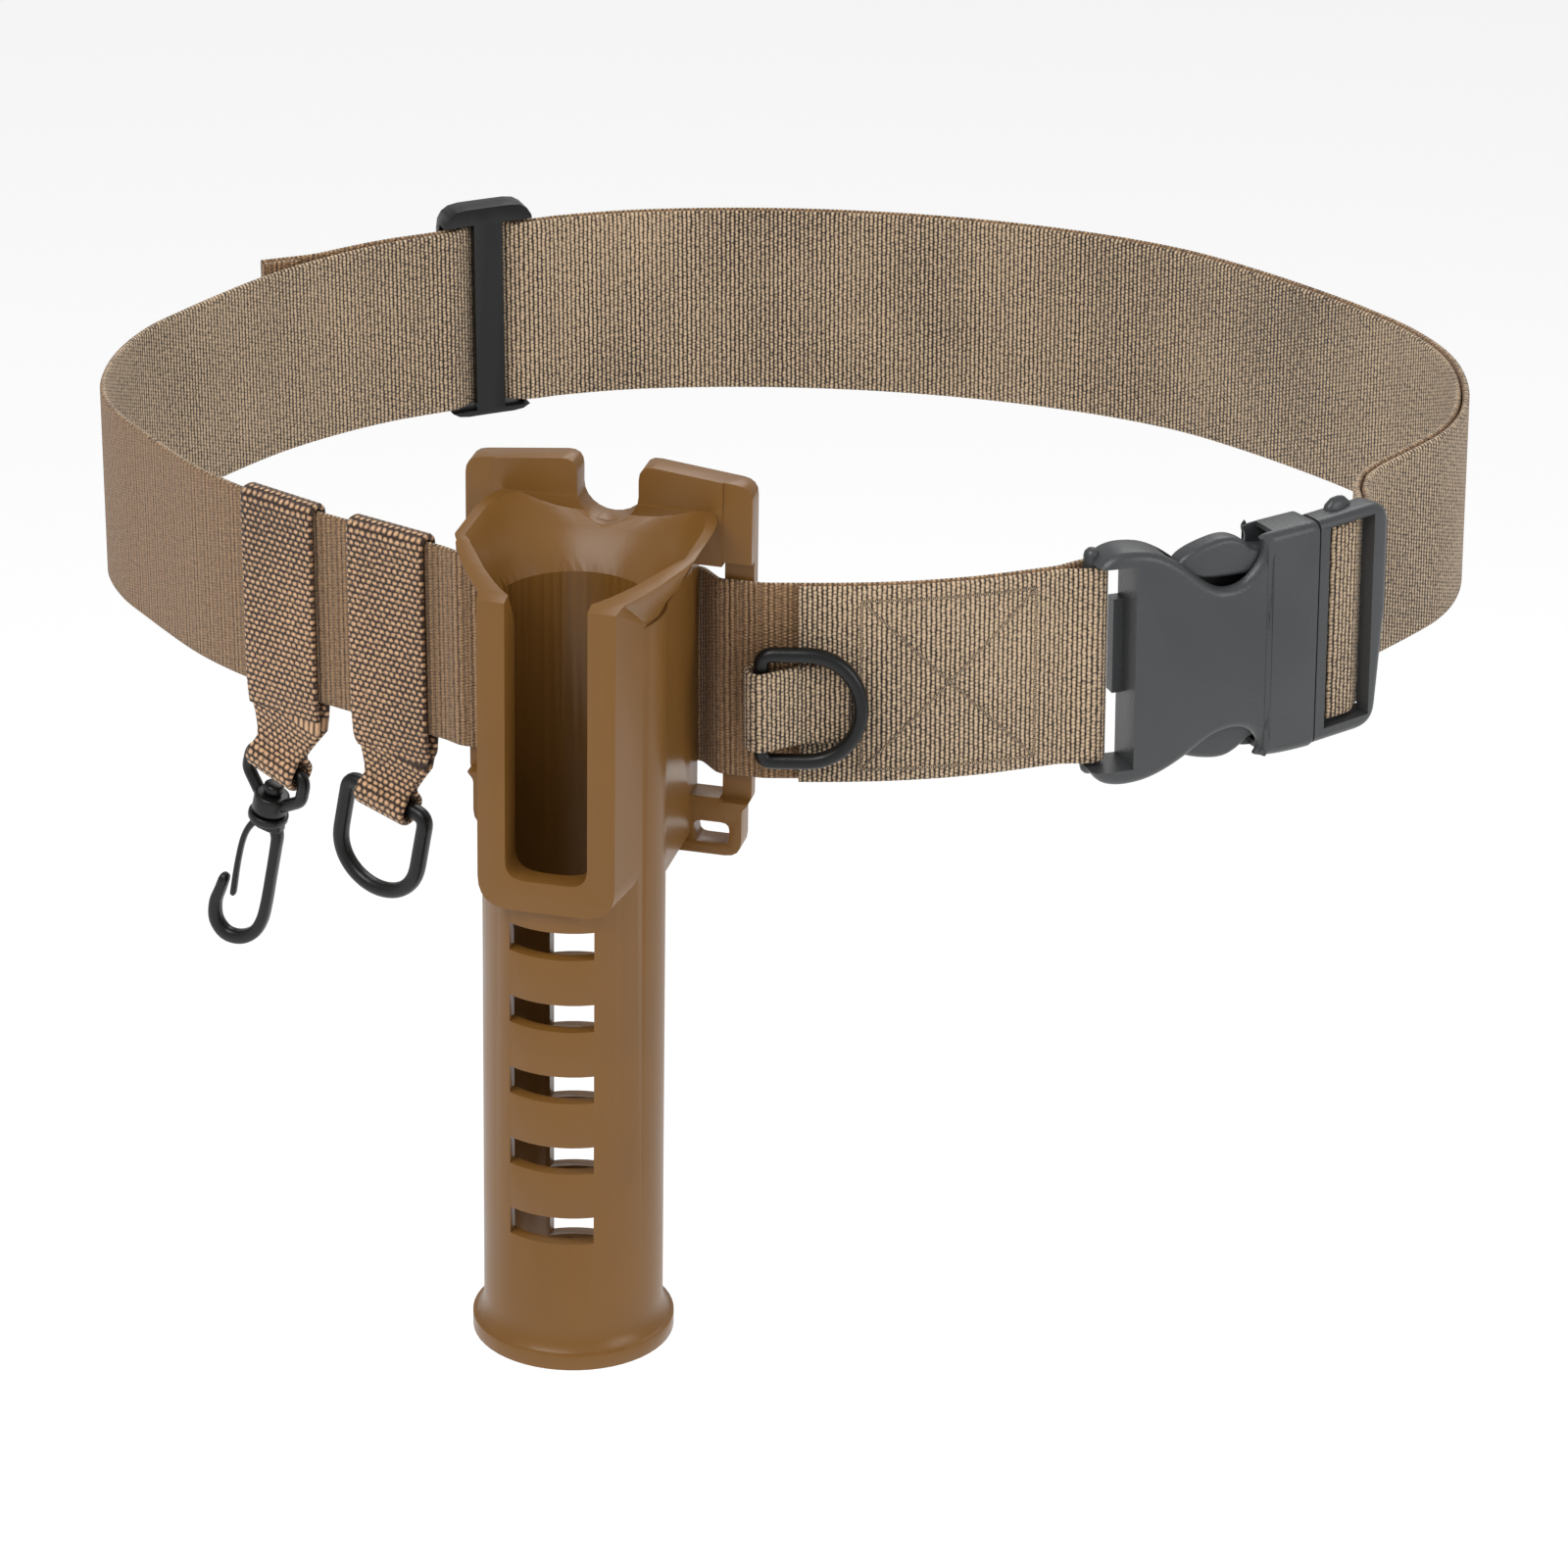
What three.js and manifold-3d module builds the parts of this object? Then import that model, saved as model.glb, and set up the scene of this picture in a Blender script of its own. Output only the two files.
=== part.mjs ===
// A fishing fighting belt: a doubled webbing waist strap with a moulded rod holder
// at the front, a side release buckle, a tri-glide, and two hanging loops of webbing
// that carry a swivel snap hook and a D-ring.
// Millimetres, +Z up. The origin is the middle of the waist hollow at the strap's
// mid height, and the front of the belt faces -Y.

import * as THREE from 'three';
import { mergeVertices } from 'three/addons/utils/BufferGeometryUtils.js';
import Module from 'manifold-3d';

const wasm = await Module();
wasm.setup();

// Waist line, an ellipse in plan
const WAIST_HALF_WIDTH = 167.5;
const WAIST_HALF_DEPTH = 125;

// Strap webbing
const WEB_WIDTH = 50;
const WEB_THICK = 1.7;
const LAYER_GAP = 0.4;
const CLEAR = 0.3;
const PAIR_STEP = WEB_THICK + LAYER_GAP;
const BEND_RADIUS = 2.2;
const SEAM_AT = 1;
const WEB_EDGE = WEB_WIDTH / 2;

// How far cutters reach past what they cut, and how deep joined solids overlap
const FAR = 90;
const BITE = 0.5;

// Distance between the points of the strap's line
const STEP = { strap: 6, plug: 1.6, glide: 1.1, tail: 4 };

// Rod holder, in its own frame: w to the right, l forward of the plate face, z up
const HOLDER_AT = { x: -43.85, y: 9.7 - WAIST_HALF_DEPTH };
const HOLDER_TURN = -14.3;
const HOLDER_LEAN = 0.8;
const PLATE = {
  halfWidth: 34.5, thick: 6.5, topIn: 52.3, topOut: 49.3, bottom: -WEB_EDGE - 20, corner: 5,
};
const STEP_IN = { width: 1.6, bottom: -WEB_EDGE - 8 };
const NOTCH = { halfWidth: 7.4, bottom: 37.6, round: 6.6 };
const MARGIN_FACE = -3;
const LOBE_STEP = 0.5;
const BELT_SLOT = { inner: 20.4, outer: 27.5, bottom: -WEB_EDGE - 5.2, top: WEB_EDGE + 4, webInset: 0.9 };
const LOWER_HOLE = { inner: 21.2, outer: 30, bottom: PLATE.bottom + 2.8, top: PLATE.bottom + 8.5, corner: 2 };
const TUBE = { axis: 28.3, outer: 21.4, wall: 3.2, bottom: -159.8 };
const FLANGE = { radius: 24.1, edge: 3.6, height: 9 };
const SIDE_WALL = 20.6;
const MOUTH = { start: 28.6, topHalf: 26.1, cornerZ: 42.6, kneeZ: 37.3 };
const MOUTH_INSIDE = { corner: [25.8, 28.8], knee: [9.8, 51] };
const MOUTH_OUTSIDE = { corner: [28.4, 29.8], knee: [16.4, 52] };
const LIP = 2.4;
const CRADLE_BACK = 0.2;
const RIM = { front: 52, halfWidth: 16.4, bottom: -39.7, corner: 12 };
const OPENING = { halfWidth: 9.8, bottom: -32, corner: 6 };
const PORT = { count: 5, halfWidth: 10.2, height: 7, first: -49, pitch: 18.7, reach: 4 };

// Side release buckle, by stations along the waist line
const BUCKLE_LIFT = { from: 66, slope: 0.055 };
const SOCKET = {
  start: 68.5, end: 126.6, inner: -6, outer: 5, wall: 2.2, top: WEB_EDGE + 4.6, bottom: -WEB_EDGE - 5.4,
};
const SOCKET_BAR = { at: 71.4, out: -2.6, radius: 2 };
const SOCKET_SLOT = { start: 75.9, end: 79.6 };
const SOCKET_BOSS = { bottom: -9, top: 15 };
const CAVITY_START = 84;
const CAVITY_ROOF = 2.6;
const POCKET_FLOOR = 12;
const PLUG = {
  base: 127.1, baseThick: 2.6, end: 148.2, inner: -3, outer: 4.8,
  top: WEB_EDGE + 3.2, bottom: -WEB_EDGE - 4.6,
};
const PLUG_BAR = { left: 134, right: 138.2, out: -0.6, radius: 1.8 };
const PLUG_END_BAR = { start: 143, inner: 1 };
const PLUG_TAPER = 2.6;
const PLUG_GUIDE = { start: 96, halfHeight: 4 };
const PRONG_THICK = 5.6;
const WINDOW_HALF = WEB_EDGE + 1;

// Tri-glide at the back left
const GLIDE = { start: -393, z: 1.5, halfHeight: WEB_EDGE + 4, side: 3.1, slot: 5.3, middle: 7.8, bar: 2.4 };
const GLIDE_OUT = { side: 5.6, middle: 1.3 };
const GLIDE_CUT = { inner: -9, outer: 20 };
const GLIDE_BAR_END = 1.5;

// Front D-ring on its tab of narrower webbing
const RING_WIRE = 3.6;
const FRONT_RING = { width: 27, height: 30.8, barAt: -7.6, z: -4, lift: 3.4 };
const TAB = { width: 20, thick: 1.4, end: 13, z: -4 };

// Hanging loops of narrow webbing, by station
const LOOP = {
  width: 22.5, thick: 1.5, ease: 0.5, tack: -WEB_EDGE - 14, eye: -WEB_EDGE - 20.2, eyeRadius: 2.9,
  eyeWidth: 12.4,
};
const HOOK_LOOP = { at: -138.5, swing: 15, from: -WEB_EDGE - 5 };
const RING_LOOP = { at: -103.7, swing: 12, from: -WEB_EDGE - 7 };
const BAR_RADIUS = 1.9;
const HANGING_RING = { width: 27.2, drop: 29.2 };

// Swivel snap hook
const EYE = { halfWidth: 10.4, drop: 12, wire: 3.2, thick: 3.4 };
const COLLAR = { radius: 4.4, height: 5.2 };
const NECK_RADIUS = 5;
const POST = { radius: 1.9, knobRadius: 2.5, knobHeight: 2.6 };
const HOOK = { thick: 3.4, turn: 14 };

// Colours and finishes
const strapCloth = new THREE.MeshStandardMaterial({ color: 0x8d6d4b, roughness: 0.9, metalness: 0 });
const loopCloth = new THREE.MeshStandardMaterial({ color: 0xa07c5c, roughness: 0.9, metalness: 0 });
const tanPlastic = new THREE.MeshStandardMaterial({ color: 0x8a5a30, roughness: 0.38, metalness: 0 });
const blackPlastic = new THREE.MeshStandardMaterial({ color: 0x1d1e20, roughness: 0.5, metalness: 0 });

// Solids
function solidOf(geometry) {
  const bare = geometry.clone();
  bare.deleteAttribute('normal');
  bare.deleteAttribute('uv');
  const merged = mergeVertices(bare, 1e-4);
  return new wasm.Manifold(new wasm.Mesh({
    numProp: 3,
    vertProperties: new Float32Array(merged.attributes.position.array),
    triVerts: new Uint32Array(merged.index.array),
  }));
}

function geometryOf(solid) {
  const mesh = solid.getMesh();
  const geometry = new THREE.BufferGeometry();
  geometry.setAttribute('position', new THREE.BufferAttribute(mesh.vertProperties, 3));
  geometry.setIndex(new THREE.BufferAttribute(mesh.triVerts, 1));
  geometry.computeVertexNormals();
  return geometry;
}

function joined(...solids) {
  return solids.reduce((whole, next) => whole.add(next));
}

function cutBy(body, ...tools) {
  return tools.reduce((whole, next) => whole.subtract(next), body);
}

// An outline in x and y raised along z between two heights
function raised(shape, from, to, segments = 8) {
  const geometry = new THREE.ExtrudeGeometry(shape, {
    depth: to - from, bevelEnabled: false, curveSegments: segments,
  });
  return geometry.translate(0, 0, from);
}

// An outline in x and z pushed along y between two depths
function pushed(shape, from, to, segments = 8) {
  return raised(shape, from, to, segments).rotateX(Math.PI / 2).translate(0, from + to, 0);
}

function polygon(points) {
  return new THREE.Shape(points.map(([x, y]) => new THREE.Vector2(x, y)));
}

function block(x0, x1, y0, y1, z0, z1) {
  return solidOf(new THREE.BoxGeometry(x1 - x0, y1 - y0, z1 - z0)
    .translate((x0 + x1) / 2, (y0 + y1) / 2, (z0 + z1) / 2));
}

function upright(radius, z0, z1, sides) {
  return new THREE.CylinderGeometry(radius, radius, z1 - z0, sides)
    .rotateX(Math.PI / 2).translate(0, 0, (z0 + z1) / 2);
}

// A polyline with its inner corners rounded
function rounded(points, radius, steps = 4) {
  const path = [points[0]];
  for (let i = 1; i < points.length - 1; i += 1) {
    const corner = new THREE.Vector2(...points[i]);
    const back = new THREE.Vector2(...points[i - 1]).sub(corner);
    const ahead = new THREE.Vector2(...points[i + 1]).sub(corner);
    const half = back.angleTo(ahead) / 2;
    const reach = Math.min(radius / Math.tan(half), back.length() * 0.48, ahead.length() * 0.48);
    const start = corner.clone().add(back.setLength(reach));
    const end = corner.clone().add(ahead.setLength(reach));
    const bend = new THREE.QuadraticBezierCurve(start, corner, end);
    bend.getPoints(steps).forEach((p) => path.push([p.x, p.y]));
  }
  path.push(points[points.length - 1]);
  return path;
}

// Waist line by arc length, 0 at the front middle and positive towards +X
const waistTable = (() => {
  const steps = 1440;
  const rows = [{ s: 0, angle: -Math.PI / 2 }];
  let last = [0, -WAIST_HALF_DEPTH];
  let s = 0;
  for (let i = 1; i <= steps; i += 1) {
    const angle = -Math.PI / 2 + (2 * Math.PI * i) / steps;
    const here = [WAIST_HALF_WIDTH * Math.cos(angle), WAIST_HALF_DEPTH * Math.sin(angle)];
    s += Math.hypot(here[0] - last[0], here[1] - last[1]);
    rows.push({ s, angle });
    last = here;
  }
  return rows;
})();
const WAIST_LENGTH = waistTable[waistTable.length - 1].s;

// Place, outward normal and turn of the waist line at a station
function waistFrame(station) {
  const s = ((station % WAIST_LENGTH) + WAIST_LENGTH) % WAIST_LENGTH;
  let low = 0;
  let high = waistTable.length - 1;
  while (high - low > 1) {
    const middle = (low + high) >> 1;
    if (waistTable[middle].s <= s) low = middle;
    else high = middle;
  }
  const share = (s - waistTable[low].s) / (waistTable[high].s - waistTable[low].s);
  const angle = THREE.MathUtils.lerp(waistTable[low].angle, waistTable[high].angle, share);
  const nx = Math.cos(angle) / WAIST_HALF_WIDTH;
  const ny = Math.sin(angle) / WAIST_HALF_DEPTH;
  const size = Math.hypot(nx, ny);
  const normal = [nx / size, ny / size];
  return {
    at: [WAIST_HALF_WIDTH * Math.cos(angle), WAIST_HALF_DEPTH * Math.sin(angle)],
    normal,
    turn: Math.atan2(normal[0], -normal[1]),
  };
}

function onWaist(station, out) {
  const { at, normal } = waistFrame(station);
  return [at[0] + normal[0] * out, at[1] + normal[1] * out];
}

// The stiff buckle stands a little further out towards its plug
function onBuckle(station, out) {
  return onWaist(station, out + BUCKLE_LIFT.slope * (station - BUCKLE_LIFT.from));
}

// A smooth value between the rows of a table of stations
function sampled(rows, s) {
  let i = 0;
  while (i < rows.length - 2 && s > rows[i + 1].s) i += 1;
  const share = THREE.MathUtils.clamp((s - rows[i].s) / (rows[i + 1].s - rows[i].s), 0, 1);
  const before = rows[Math.max(i - 1, 0)];
  const after = rows[Math.min(i + 2, rows.length - 1)];
  const span = rows[i + 1].s - rows[i].s;
  const slope0 = ((rows[i + 1].out - before.out) / (rows[i + 1].s - before.s)) * span;
  const slope1 = ((after.out - rows[i].out) / (after.s - rows[i].s)) * span;
  const t2 = share * share;
  const t3 = t2 * share;
  return rows[i].out * (2 * t3 - 3 * t2 + 1) + slope0 * (t3 - 2 * t2 + share)
    + rows[i + 1].out * (3 * t2 - 2 * t3) + slope1 * (t3 - t2);
}

function route(rows, step) {
  const first = rows[0].s;
  const last = rows[rows.length - 1].s;
  const count = Math.max(2, Math.ceil((last - first) / step));
  const path = [];
  for (let i = 0; i <= count; i += 1) {
    const s = first + ((last - first) * i) / count;
    path.push(onWaist(s, sampled(rows, s)));
  }
  return path;
}

// A path moved sideways, positive to the right of its direction
function shifted(path, distance) {
  return path.map((point, i) => {
    const before = path[Math.max(i - 1, 0)];
    const after = path[Math.min(i + 1, path.length - 1)];
    const dx = after[0] - before[0];
    const dy = after[1] - before[1];
    const size = Math.hypot(dx, dy);
    return [point[0] + (dy / size) * distance, point[1] - (dx / size) * distance];
  });
}

function turnAround(centre, radius, fromAngle, toAngle, steps) {
  const path = [];
  for (let i = 0; i <= steps; i += 1) {
    const angle = fromAngle + ((toAngle - fromAngle) * i) / steps;
    path.push([centre[0] + radius * Math.cos(angle), centre[1] + radius * Math.sin(angle)]);
  }
  return path;
}

// A band of cloth of even thickness along a path in plan
function clothBand(path, thick) {
  const left = shifted(path, -thick / 2);
  const right = shifted(path, thick / 2);
  return polygon([...right, ...left.reverse()]);
}

// How far the soft strap's middle lies outside the waist line, by station
const FRONT_PAIR = [
  { s: SEAM_AT, out: -1.1 },
  { s: 25, out: -0.6 },
  { s: 43, out: -1.0 },
  { s: 55, out: -1.9 },
  { s: SOCKET_BAR.at - 8, out: SOCKET_BAR.out + BUCKLE_LIFT.slope * (SOCKET_BAR.at - BUCKLE_LIFT.from) },
];
const GLIDE_END = GLIDE.start + 2 * GLIDE.side + 2 * GLIDE.slot + GLIDE.middle;
const GLIDE_SLOTS = [GLIDE.start + GLIDE.side, GLIDE_END - GLIDE.side - GLIDE.slot];
const PAIR_HALF = (PAIR_STEP + WEB_THICK) / 2;
const INSIDE_BAR = GLIDE_OUT.side - PAIR_HALF - 0.9;
const OVER_BAR = GLIDE_OUT.middle + GLIDE.bar + PAIR_HALF + CLEAR * 2;
const PLUG_PAIR_OUT = PLUG_END_BAR.inner - CLEAR - PAIR_HALF
  + BUCKLE_LIFT.slope * (PLUG_END_BAR.start - BUCKLE_LIFT.from);
const PLUG_ROWS = [
  { s: PLUG_END_BAR.start - 0.5, out: PLUG_PAIR_OUT - 0.3 },
  { s: PLUG_END_BAR.start + 3, out: PLUG_PAIR_OUT - 1.2 },
  { s: 151, out: -1.6 },
  { s: 156, out: -6.2 },
  { s: 163, out: -9.8 },
];
const RIGHT_PAIR = [
  ...PLUG_ROWS,
  { s: 171, out: -10.4 },
  { s: 179, out: -9.4 },
  { s: 188, out: -7.6 },
  { s: 198, out: -5.2 },
  { s: 209, out: -3.4 },
  { s: 222, out: -2.5 },
  { s: 250, out: -2.0 },
  { s: 272, out: -3.8 },
  { s: 289, out: -5.9 },
  { s: 310, out: -7.1 },
  { s: 330, out: -6.6 },
  { s: 355, out: -4.6 },
  { s: 395, out: -3.6 },
  { s: 422, out: -2.6 },
  { s: 454, out: -0.9 },
  { s: 485, out: 1.1 },
  { s: 506, out: 2.6 },
  { s: WAIST_LENGTH + GLIDE.start - 6, out: 3.0 },
];
const GLIDE_PAIR = [
  RIGHT_PAIR[RIGHT_PAIR.length - 1],
  { s: WAIST_LENGTH + GLIDE.start + GLIDE.side * 0.5, out: INSIDE_BAR },
  { s: WAIST_LENGTH + GLIDE_SLOTS[0] + GLIDE.slot / 2, out: (INSIDE_BAR + OVER_BAR) / 2 },
  { s: WAIST_LENGTH + GLIDE_SLOTS[0] + GLIDE.slot, out: OVER_BAR },
  { s: WAIST_LENGTH + GLIDE_SLOTS[1], out: OVER_BAR },
  { s: WAIST_LENGTH + GLIDE_SLOTS[1] + GLIDE.slot / 2, out: (INSIDE_BAR + OVER_BAR) / 2 },
  { s: WAIST_LENGTH + GLIDE_END - GLIDE.side * 0.5, out: INSIDE_BAR },
  { s: WAIST_LENGTH + GLIDE_END + 3, out: INSIDE_BAR },
];
const LEFT_SINGLE = [
  { s: -356, out: 2.3 },
  { s: -345, out: 2.4 },
  { s: -320, out: 2.0 },
  { s: -300, out: 1.4 },
  { s: -285, out: 2.0 },
  { s: -271, out: 3.7 },
  { s: -250, out: 4.3 },
  { s: -229, out: 3.2 },
  { s: -214, out: 0 },
  { s: -201, out: -3.6 },
  { s: -188, out: -5.8 },
  { s: -170, out: -7.2 },
  { s: -154, out: -8.4 },
  { s: -135, out: -9.6 },
  { s: -115, out: -9.9 },
  { s: -100, out: -8.8 },
  { s: -88, out: -7.2 },
];
const TAIL = [
  { s: -356, out: 4.9 },
  { s: -349, out: 5.4 },
  { s: -341, out: 5.7 },
  { s: -334, out: 6.2 },
  { s: -328, out: 8.2 },
  { s: -321, out: 11.4 },
];

// Place and turn of the single strap at a station on its left stretch
function strapFrame(station) {
  const near = onWaist(station - 6, sampled(LEFT_SINGLE, station - 6));
  const far = onWaist(station + 6, sampled(LEFT_SINGLE, station + 6));
  return {
    at: onWaist(station, sampled(LEFT_SINGLE, station)),
    turn: Math.atan2(far[1] - near[1], far[0] - near[0]),
  };
}

// Holder frame to plan
const holderTurn = THREE.MathUtils.degToRad(HOLDER_TURN);
function fromHolder(w, l) {
  return [
    HOLDER_AT.x + w * Math.cos(holderTurn) + l * Math.sin(holderTurn),
    HOLDER_AT.y + w * Math.sin(holderTurn) - l * Math.cos(holderTurn),
  ];
}

// How far, as angles, the strap hugs each buckle bar past the half turn
const PAST_BAR = { socket: 0.2, plugInside: 0.3, plugOutside: 0.62 };

// The strap's middle line in plan, from its sewn end to its free end
function strapPath() {
  const frontPair = route(FRONT_PAIR, STEP.strap);
  const pair = [
    ...route(PLUG_ROWS, STEP.plug).slice(0, -1),
    ...route(RIGHT_PAIR.slice(PLUG_ROWS.length - 1), STEP.strap).slice(0, -1),
    ...route(GLIDE_PAIR, STEP.glide),
  ];

  const socketTurn = waistFrame(SOCKET_BAR.at).turn;
  const socketBar = onBuckle(SOCKET_BAR.at, SOCKET_BAR.out);
  const socketRadius = SOCKET_BAR.radius + CLEAR + WEB_THICK / 2;
  const aroundSocketBar = turnAround(
    socketBar, socketRadius, socketTurn - Math.PI / 2 - PAST_BAR.socket,
    socketTurn + Math.PI / 2 + PAST_BAR.socket, 10);

  const leftTurn = waistFrame(PLUG_BAR.left).turn;
  const rightTurn = waistFrame(PLUG_BAR.right).turn;
  const plugRadius = PLUG_BAR.radius + CLEAR + WEB_THICK / 2;
  const barLeft = onBuckle(PLUG_BAR.left, PLUG_BAR.out);
  const barRight = onBuckle(PLUG_BAR.right, PLUG_BAR.out);
  const aroundPlugBar = [
    ...turnAround(barRight, plugRadius,
      rightTurn + Math.PI / 2 - PAST_BAR.plugInside, rightTurn + Math.PI / 2, 2),
    ...turnAround(barLeft, plugRadius, leftTurn + Math.PI / 2, leftTurn + Math.PI * 1.5, 10),
    ...turnAround(barRight, plugRadius,
      rightTurn + Math.PI * 1.5, rightTurn + Math.PI * 1.5 + PAST_BAR.plugOutside, 3),
  ];

  const faceL = MARGIN_FACE + CLEAR + WEB_THICK / 2;
  const backL = -PLATE.thick - CLEAR - WEB_THICK / 2;
  const plateStretch = rounded([
    fromHolder(PLATE.halfWidth + 3, faceL),
    fromHolder(BELT_SLOT.outer - BELT_SLOT.webInset, faceL),
    fromHolder(BELT_SLOT.inner + BELT_SLOT.webInset, backL),
    fromHolder(-BELT_SLOT.inner - BELT_SLOT.webInset, backL),
    fromHolder(-BELT_SLOT.outer + BELT_SLOT.webInset, faceL),
    fromHolder(-PLATE.halfWidth - 2, faceL),
  ], BEND_RADIUS);

  const leftSingle = route(LEFT_SINGLE, STEP.strap).reverse();
  return [
    ...shifted(frontPair, PAIR_STEP / 2),
    ...aroundSocketBar,
    ...shifted(frontPair, -PAIR_STEP / 2).reverse().slice(0, -1),
    ...plateStretch,
    ...leftSingle.slice(0, -1),
    ...shifted(pair, -PAIR_STEP / 2).reverse(),
    ...aroundPlugBar,
    ...shifted(pair, PAIR_STEP / 2),
    ...route(TAIL, STEP.tail),
  ];
}

function strap() {
  return raised(clothBand(strapPath(), WEB_THICK), -WEB_EDGE, WEB_EDGE);
}

// Rod holder
function plateOutline() {
  const { halfWidth, topIn, topOut, bottom, corner } = PLATE;
  const edge = halfWidth - STEP_IN.width;
  const right = rounded([
    [0, bottom], [edge, bottom], [edge, STEP_IN.bottom], [halfWidth, STEP_IN.bottom + STEP_IN.width],
    [halfWidth, topOut], [NOTCH.halfWidth, topIn], [NOTCH.halfWidth, NOTCH.bottom + NOTCH.round],
  ], corner * 0.8);
  right.push(...notchCurve());
  const left = right.slice(1, -1).reverse().map(([w, z]) => [-w, z]);
  return polygon([...right, ...left]);
}

// The right half of the notch's round bottom, down to its middle
function notchCurve(steps = 6) {
  const curve = [];
  for (let i = 1; i <= steps; i += 1) {
    const angle = (Math.PI / 2) * (i / steps);
    curve.push([NOTCH.halfWidth * Math.cos(angle), NOTCH.bottom + NOTCH.round * (1 - Math.sin(angle))]);
  }
  return curve;
}

function notchCut() {
  const { halfWidth, bottom, round } = NOTCH;
  const right = [[halfWidth, FAR], [halfWidth, bottom + round], ...notchCurve()];
  const left = right.slice(0, -1).reverse().map(([w, z]) => [-w, z]);
  return solidOf(pushed(polygon([...right, ...left].reverse()), -4, CRADLE_BACK));
}

// A level outline of the mouth: round at the bore, at the top square towards the
// plate's lobes and cornered towards the front
function mouthRing({ half, back, square, corner, knee, cornered, front }, z) {
  const sides = 48;
  const ring = [];
  for (let i = 0; i < sides; i += 1) {
    const angle = (2 * Math.PI * i) / sides;
    const c = Math.cos(angle);
    const s = Math.sin(angle);
    if (s >= 0) {
      ring.push([half * Math.sign(c) * Math.abs(c) ** square, -TUBE.axis + back * s ** square, z]);
    } else {
      const round = 1 / Math.hypot(c / half, s / front);
      const edges = [[...corner, ...knee], [...knee, 0, knee[1]]];
      const straight = Math.min(...edges.map(([x0, y0, x1, y1]) => {
        const nx = y1 - y0;
        const ny = x0 - x1;
        return (nx * x0 + ny * y0) / (nx * Math.abs(c) + ny * Math.abs(s));
      }).filter((distance) => distance > 0));
      const reach = THREE.MathUtils.lerp(round, straight, cornered);
      ring.push([reach * c, -TUBE.axis + reach * s, z]);
    }
  }
  return ring;
}

// A closed solid lofted through level rings with the same number of points
function lofted(rings) {
  const sides = rings[0].length;
  const points = rings.flat();
  const faces = [];
  for (let level = 0; level < rings.length - 1; level += 1) {
    for (let i = 0; i < sides; i += 1) {
      const a = level * sides + i;
      const b = level * sides + ((i + 1) % sides);
      faces.push(a, b, b + sides, a, b + sides, a + sides);
    }
  }
  const low = points.length;
  const bottomMiddle = rings[0].reduce((sum, p) => sum.map((v, k) => v + p[k] / sides), [0, 0, 0]);
  const last = rings[rings.length - 1];
  const topMiddle = last.reduce((sum, p) => sum.map((v, k) => v + p[k] / sides), [0, 0, 0]);
  points.push(bottomMiddle, topMiddle);
  const top = (rings.length - 1) * sides;
  for (let i = 0; i < sides; i += 1) {
    const next = (i + 1) % sides;
    faces.push(low, next, i);
    faces.push(low + 1, top + i, top + next);
  }
  const geometry = new THREE.BufferGeometry();
  geometry.setAttribute('position', new THREE.Float32BufferAttribute(points.flat(), 3));
  geometry.setIndex(faces);
  return geometry;
}

// Rows of the funnel above the bore: height share, half width, reach behind and
// ahead beyond the bore, squareness behind, and how cornered it is ahead
const FUNNEL = [
  { up: 0, wider: 0, behind: 0, ahead: 0, square: 1, cornered: 0 },
  { up: 0.3, wider: 1.4, behind: 2.6, ahead: 1, square: 0.85, cornered: 0.15 },
  { up: 0.6, wider: 3.8, behind: 6.6, ahead: 2, square: 0.66, cornered: 0.5 },
  { up: 0.82, wider: 6, behind: 10, ahead: 2.6, square: 0.5, cornered: 0.85 },
  { up: 1, wider: MOUTH.topHalf - TUBE.outer + TUBE.wall, behind: 11.5, ahead: 3, square: 0.36, cornered: 1 },
];

function mouthRings(grow, topExtra, { corner, knee }) {
  const bore = TUBE.outer - TUBE.wall + grow;
  const fromAxis = ([w, l]) => [w, l - TUBE.axis];
  const ringAt = (r, z) => mouthRing({
    half: bore + r.wider,
    back: bore + r.behind,
    front: bore + r.ahead,
    square: r.square,
    corner: fromAxis(corner),
    knee: fromAxis(knee),
    cornered: r.cornered,
  }, z);
  const rings = FUNNEL.map((r) => ringAt(r, MOUTH.start + (MOUTH.cornerZ - MOUTH.start) * r.up));
  if (topExtra > 0) rings.push(ringAt(FUNNEL[FUNNEL.length - 1], MOUTH.cornerZ + topExtra));
  return rings;
}

// Ahead of its corners the mouth slopes down to the knees of the opening
function mouthTrim() {
  const [, cornerL] = MOUTH_OUTSIDE.corner;
  const [, kneeL] = MOUTH_OUTSIDE.knee;
  const fall = (MOUTH.cornerZ - MOUTH.kneeZ) / (kneeL - cornerL);
  const shape = polygon([
    [cornerL, MOUTH.cornerZ], [FAR, MOUTH.cornerZ - fall * (FAR - cornerL)], [FAR, FAR], [cornerL, FAR],
  ]);
  return solidOf(pushed(shape, -FAR, FAR).rotateZ(-Math.PI / 2));
}

function lathe(rows, sides) {
  const geometry = new THREE.LatheGeometry(rows.map(([r, z]) => new THREE.Vector2(r, z)), sides);
  return solidOf(geometry.rotateX(Math.PI / 2));
}

function tubeOuter() {
  const { outer, bottom } = TUBE;
  const rows = [[0, bottom], [FLANGE.radius, bottom], [FLANGE.radius, bottom + FLANGE.edge]];
  const reach = FLANGE.radius - outer;
  const rise = FLANGE.height - FLANGE.edge;
  for (let i = 1; i <= 4; i += 1) {
    const angle = (Math.PI / 2) * (i / 4);
    rows.push([
      outer + reach * (1 - Math.sin(angle)),
      bottom + FLANGE.edge + rise * (1 - Math.cos(angle)),
    ]);
  }
  rows.push([outer, MOUTH.start], [0, MOUTH.start]);
  return lathe(rows, 56).translate([0, -TUBE.axis, 0]);
}

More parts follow.
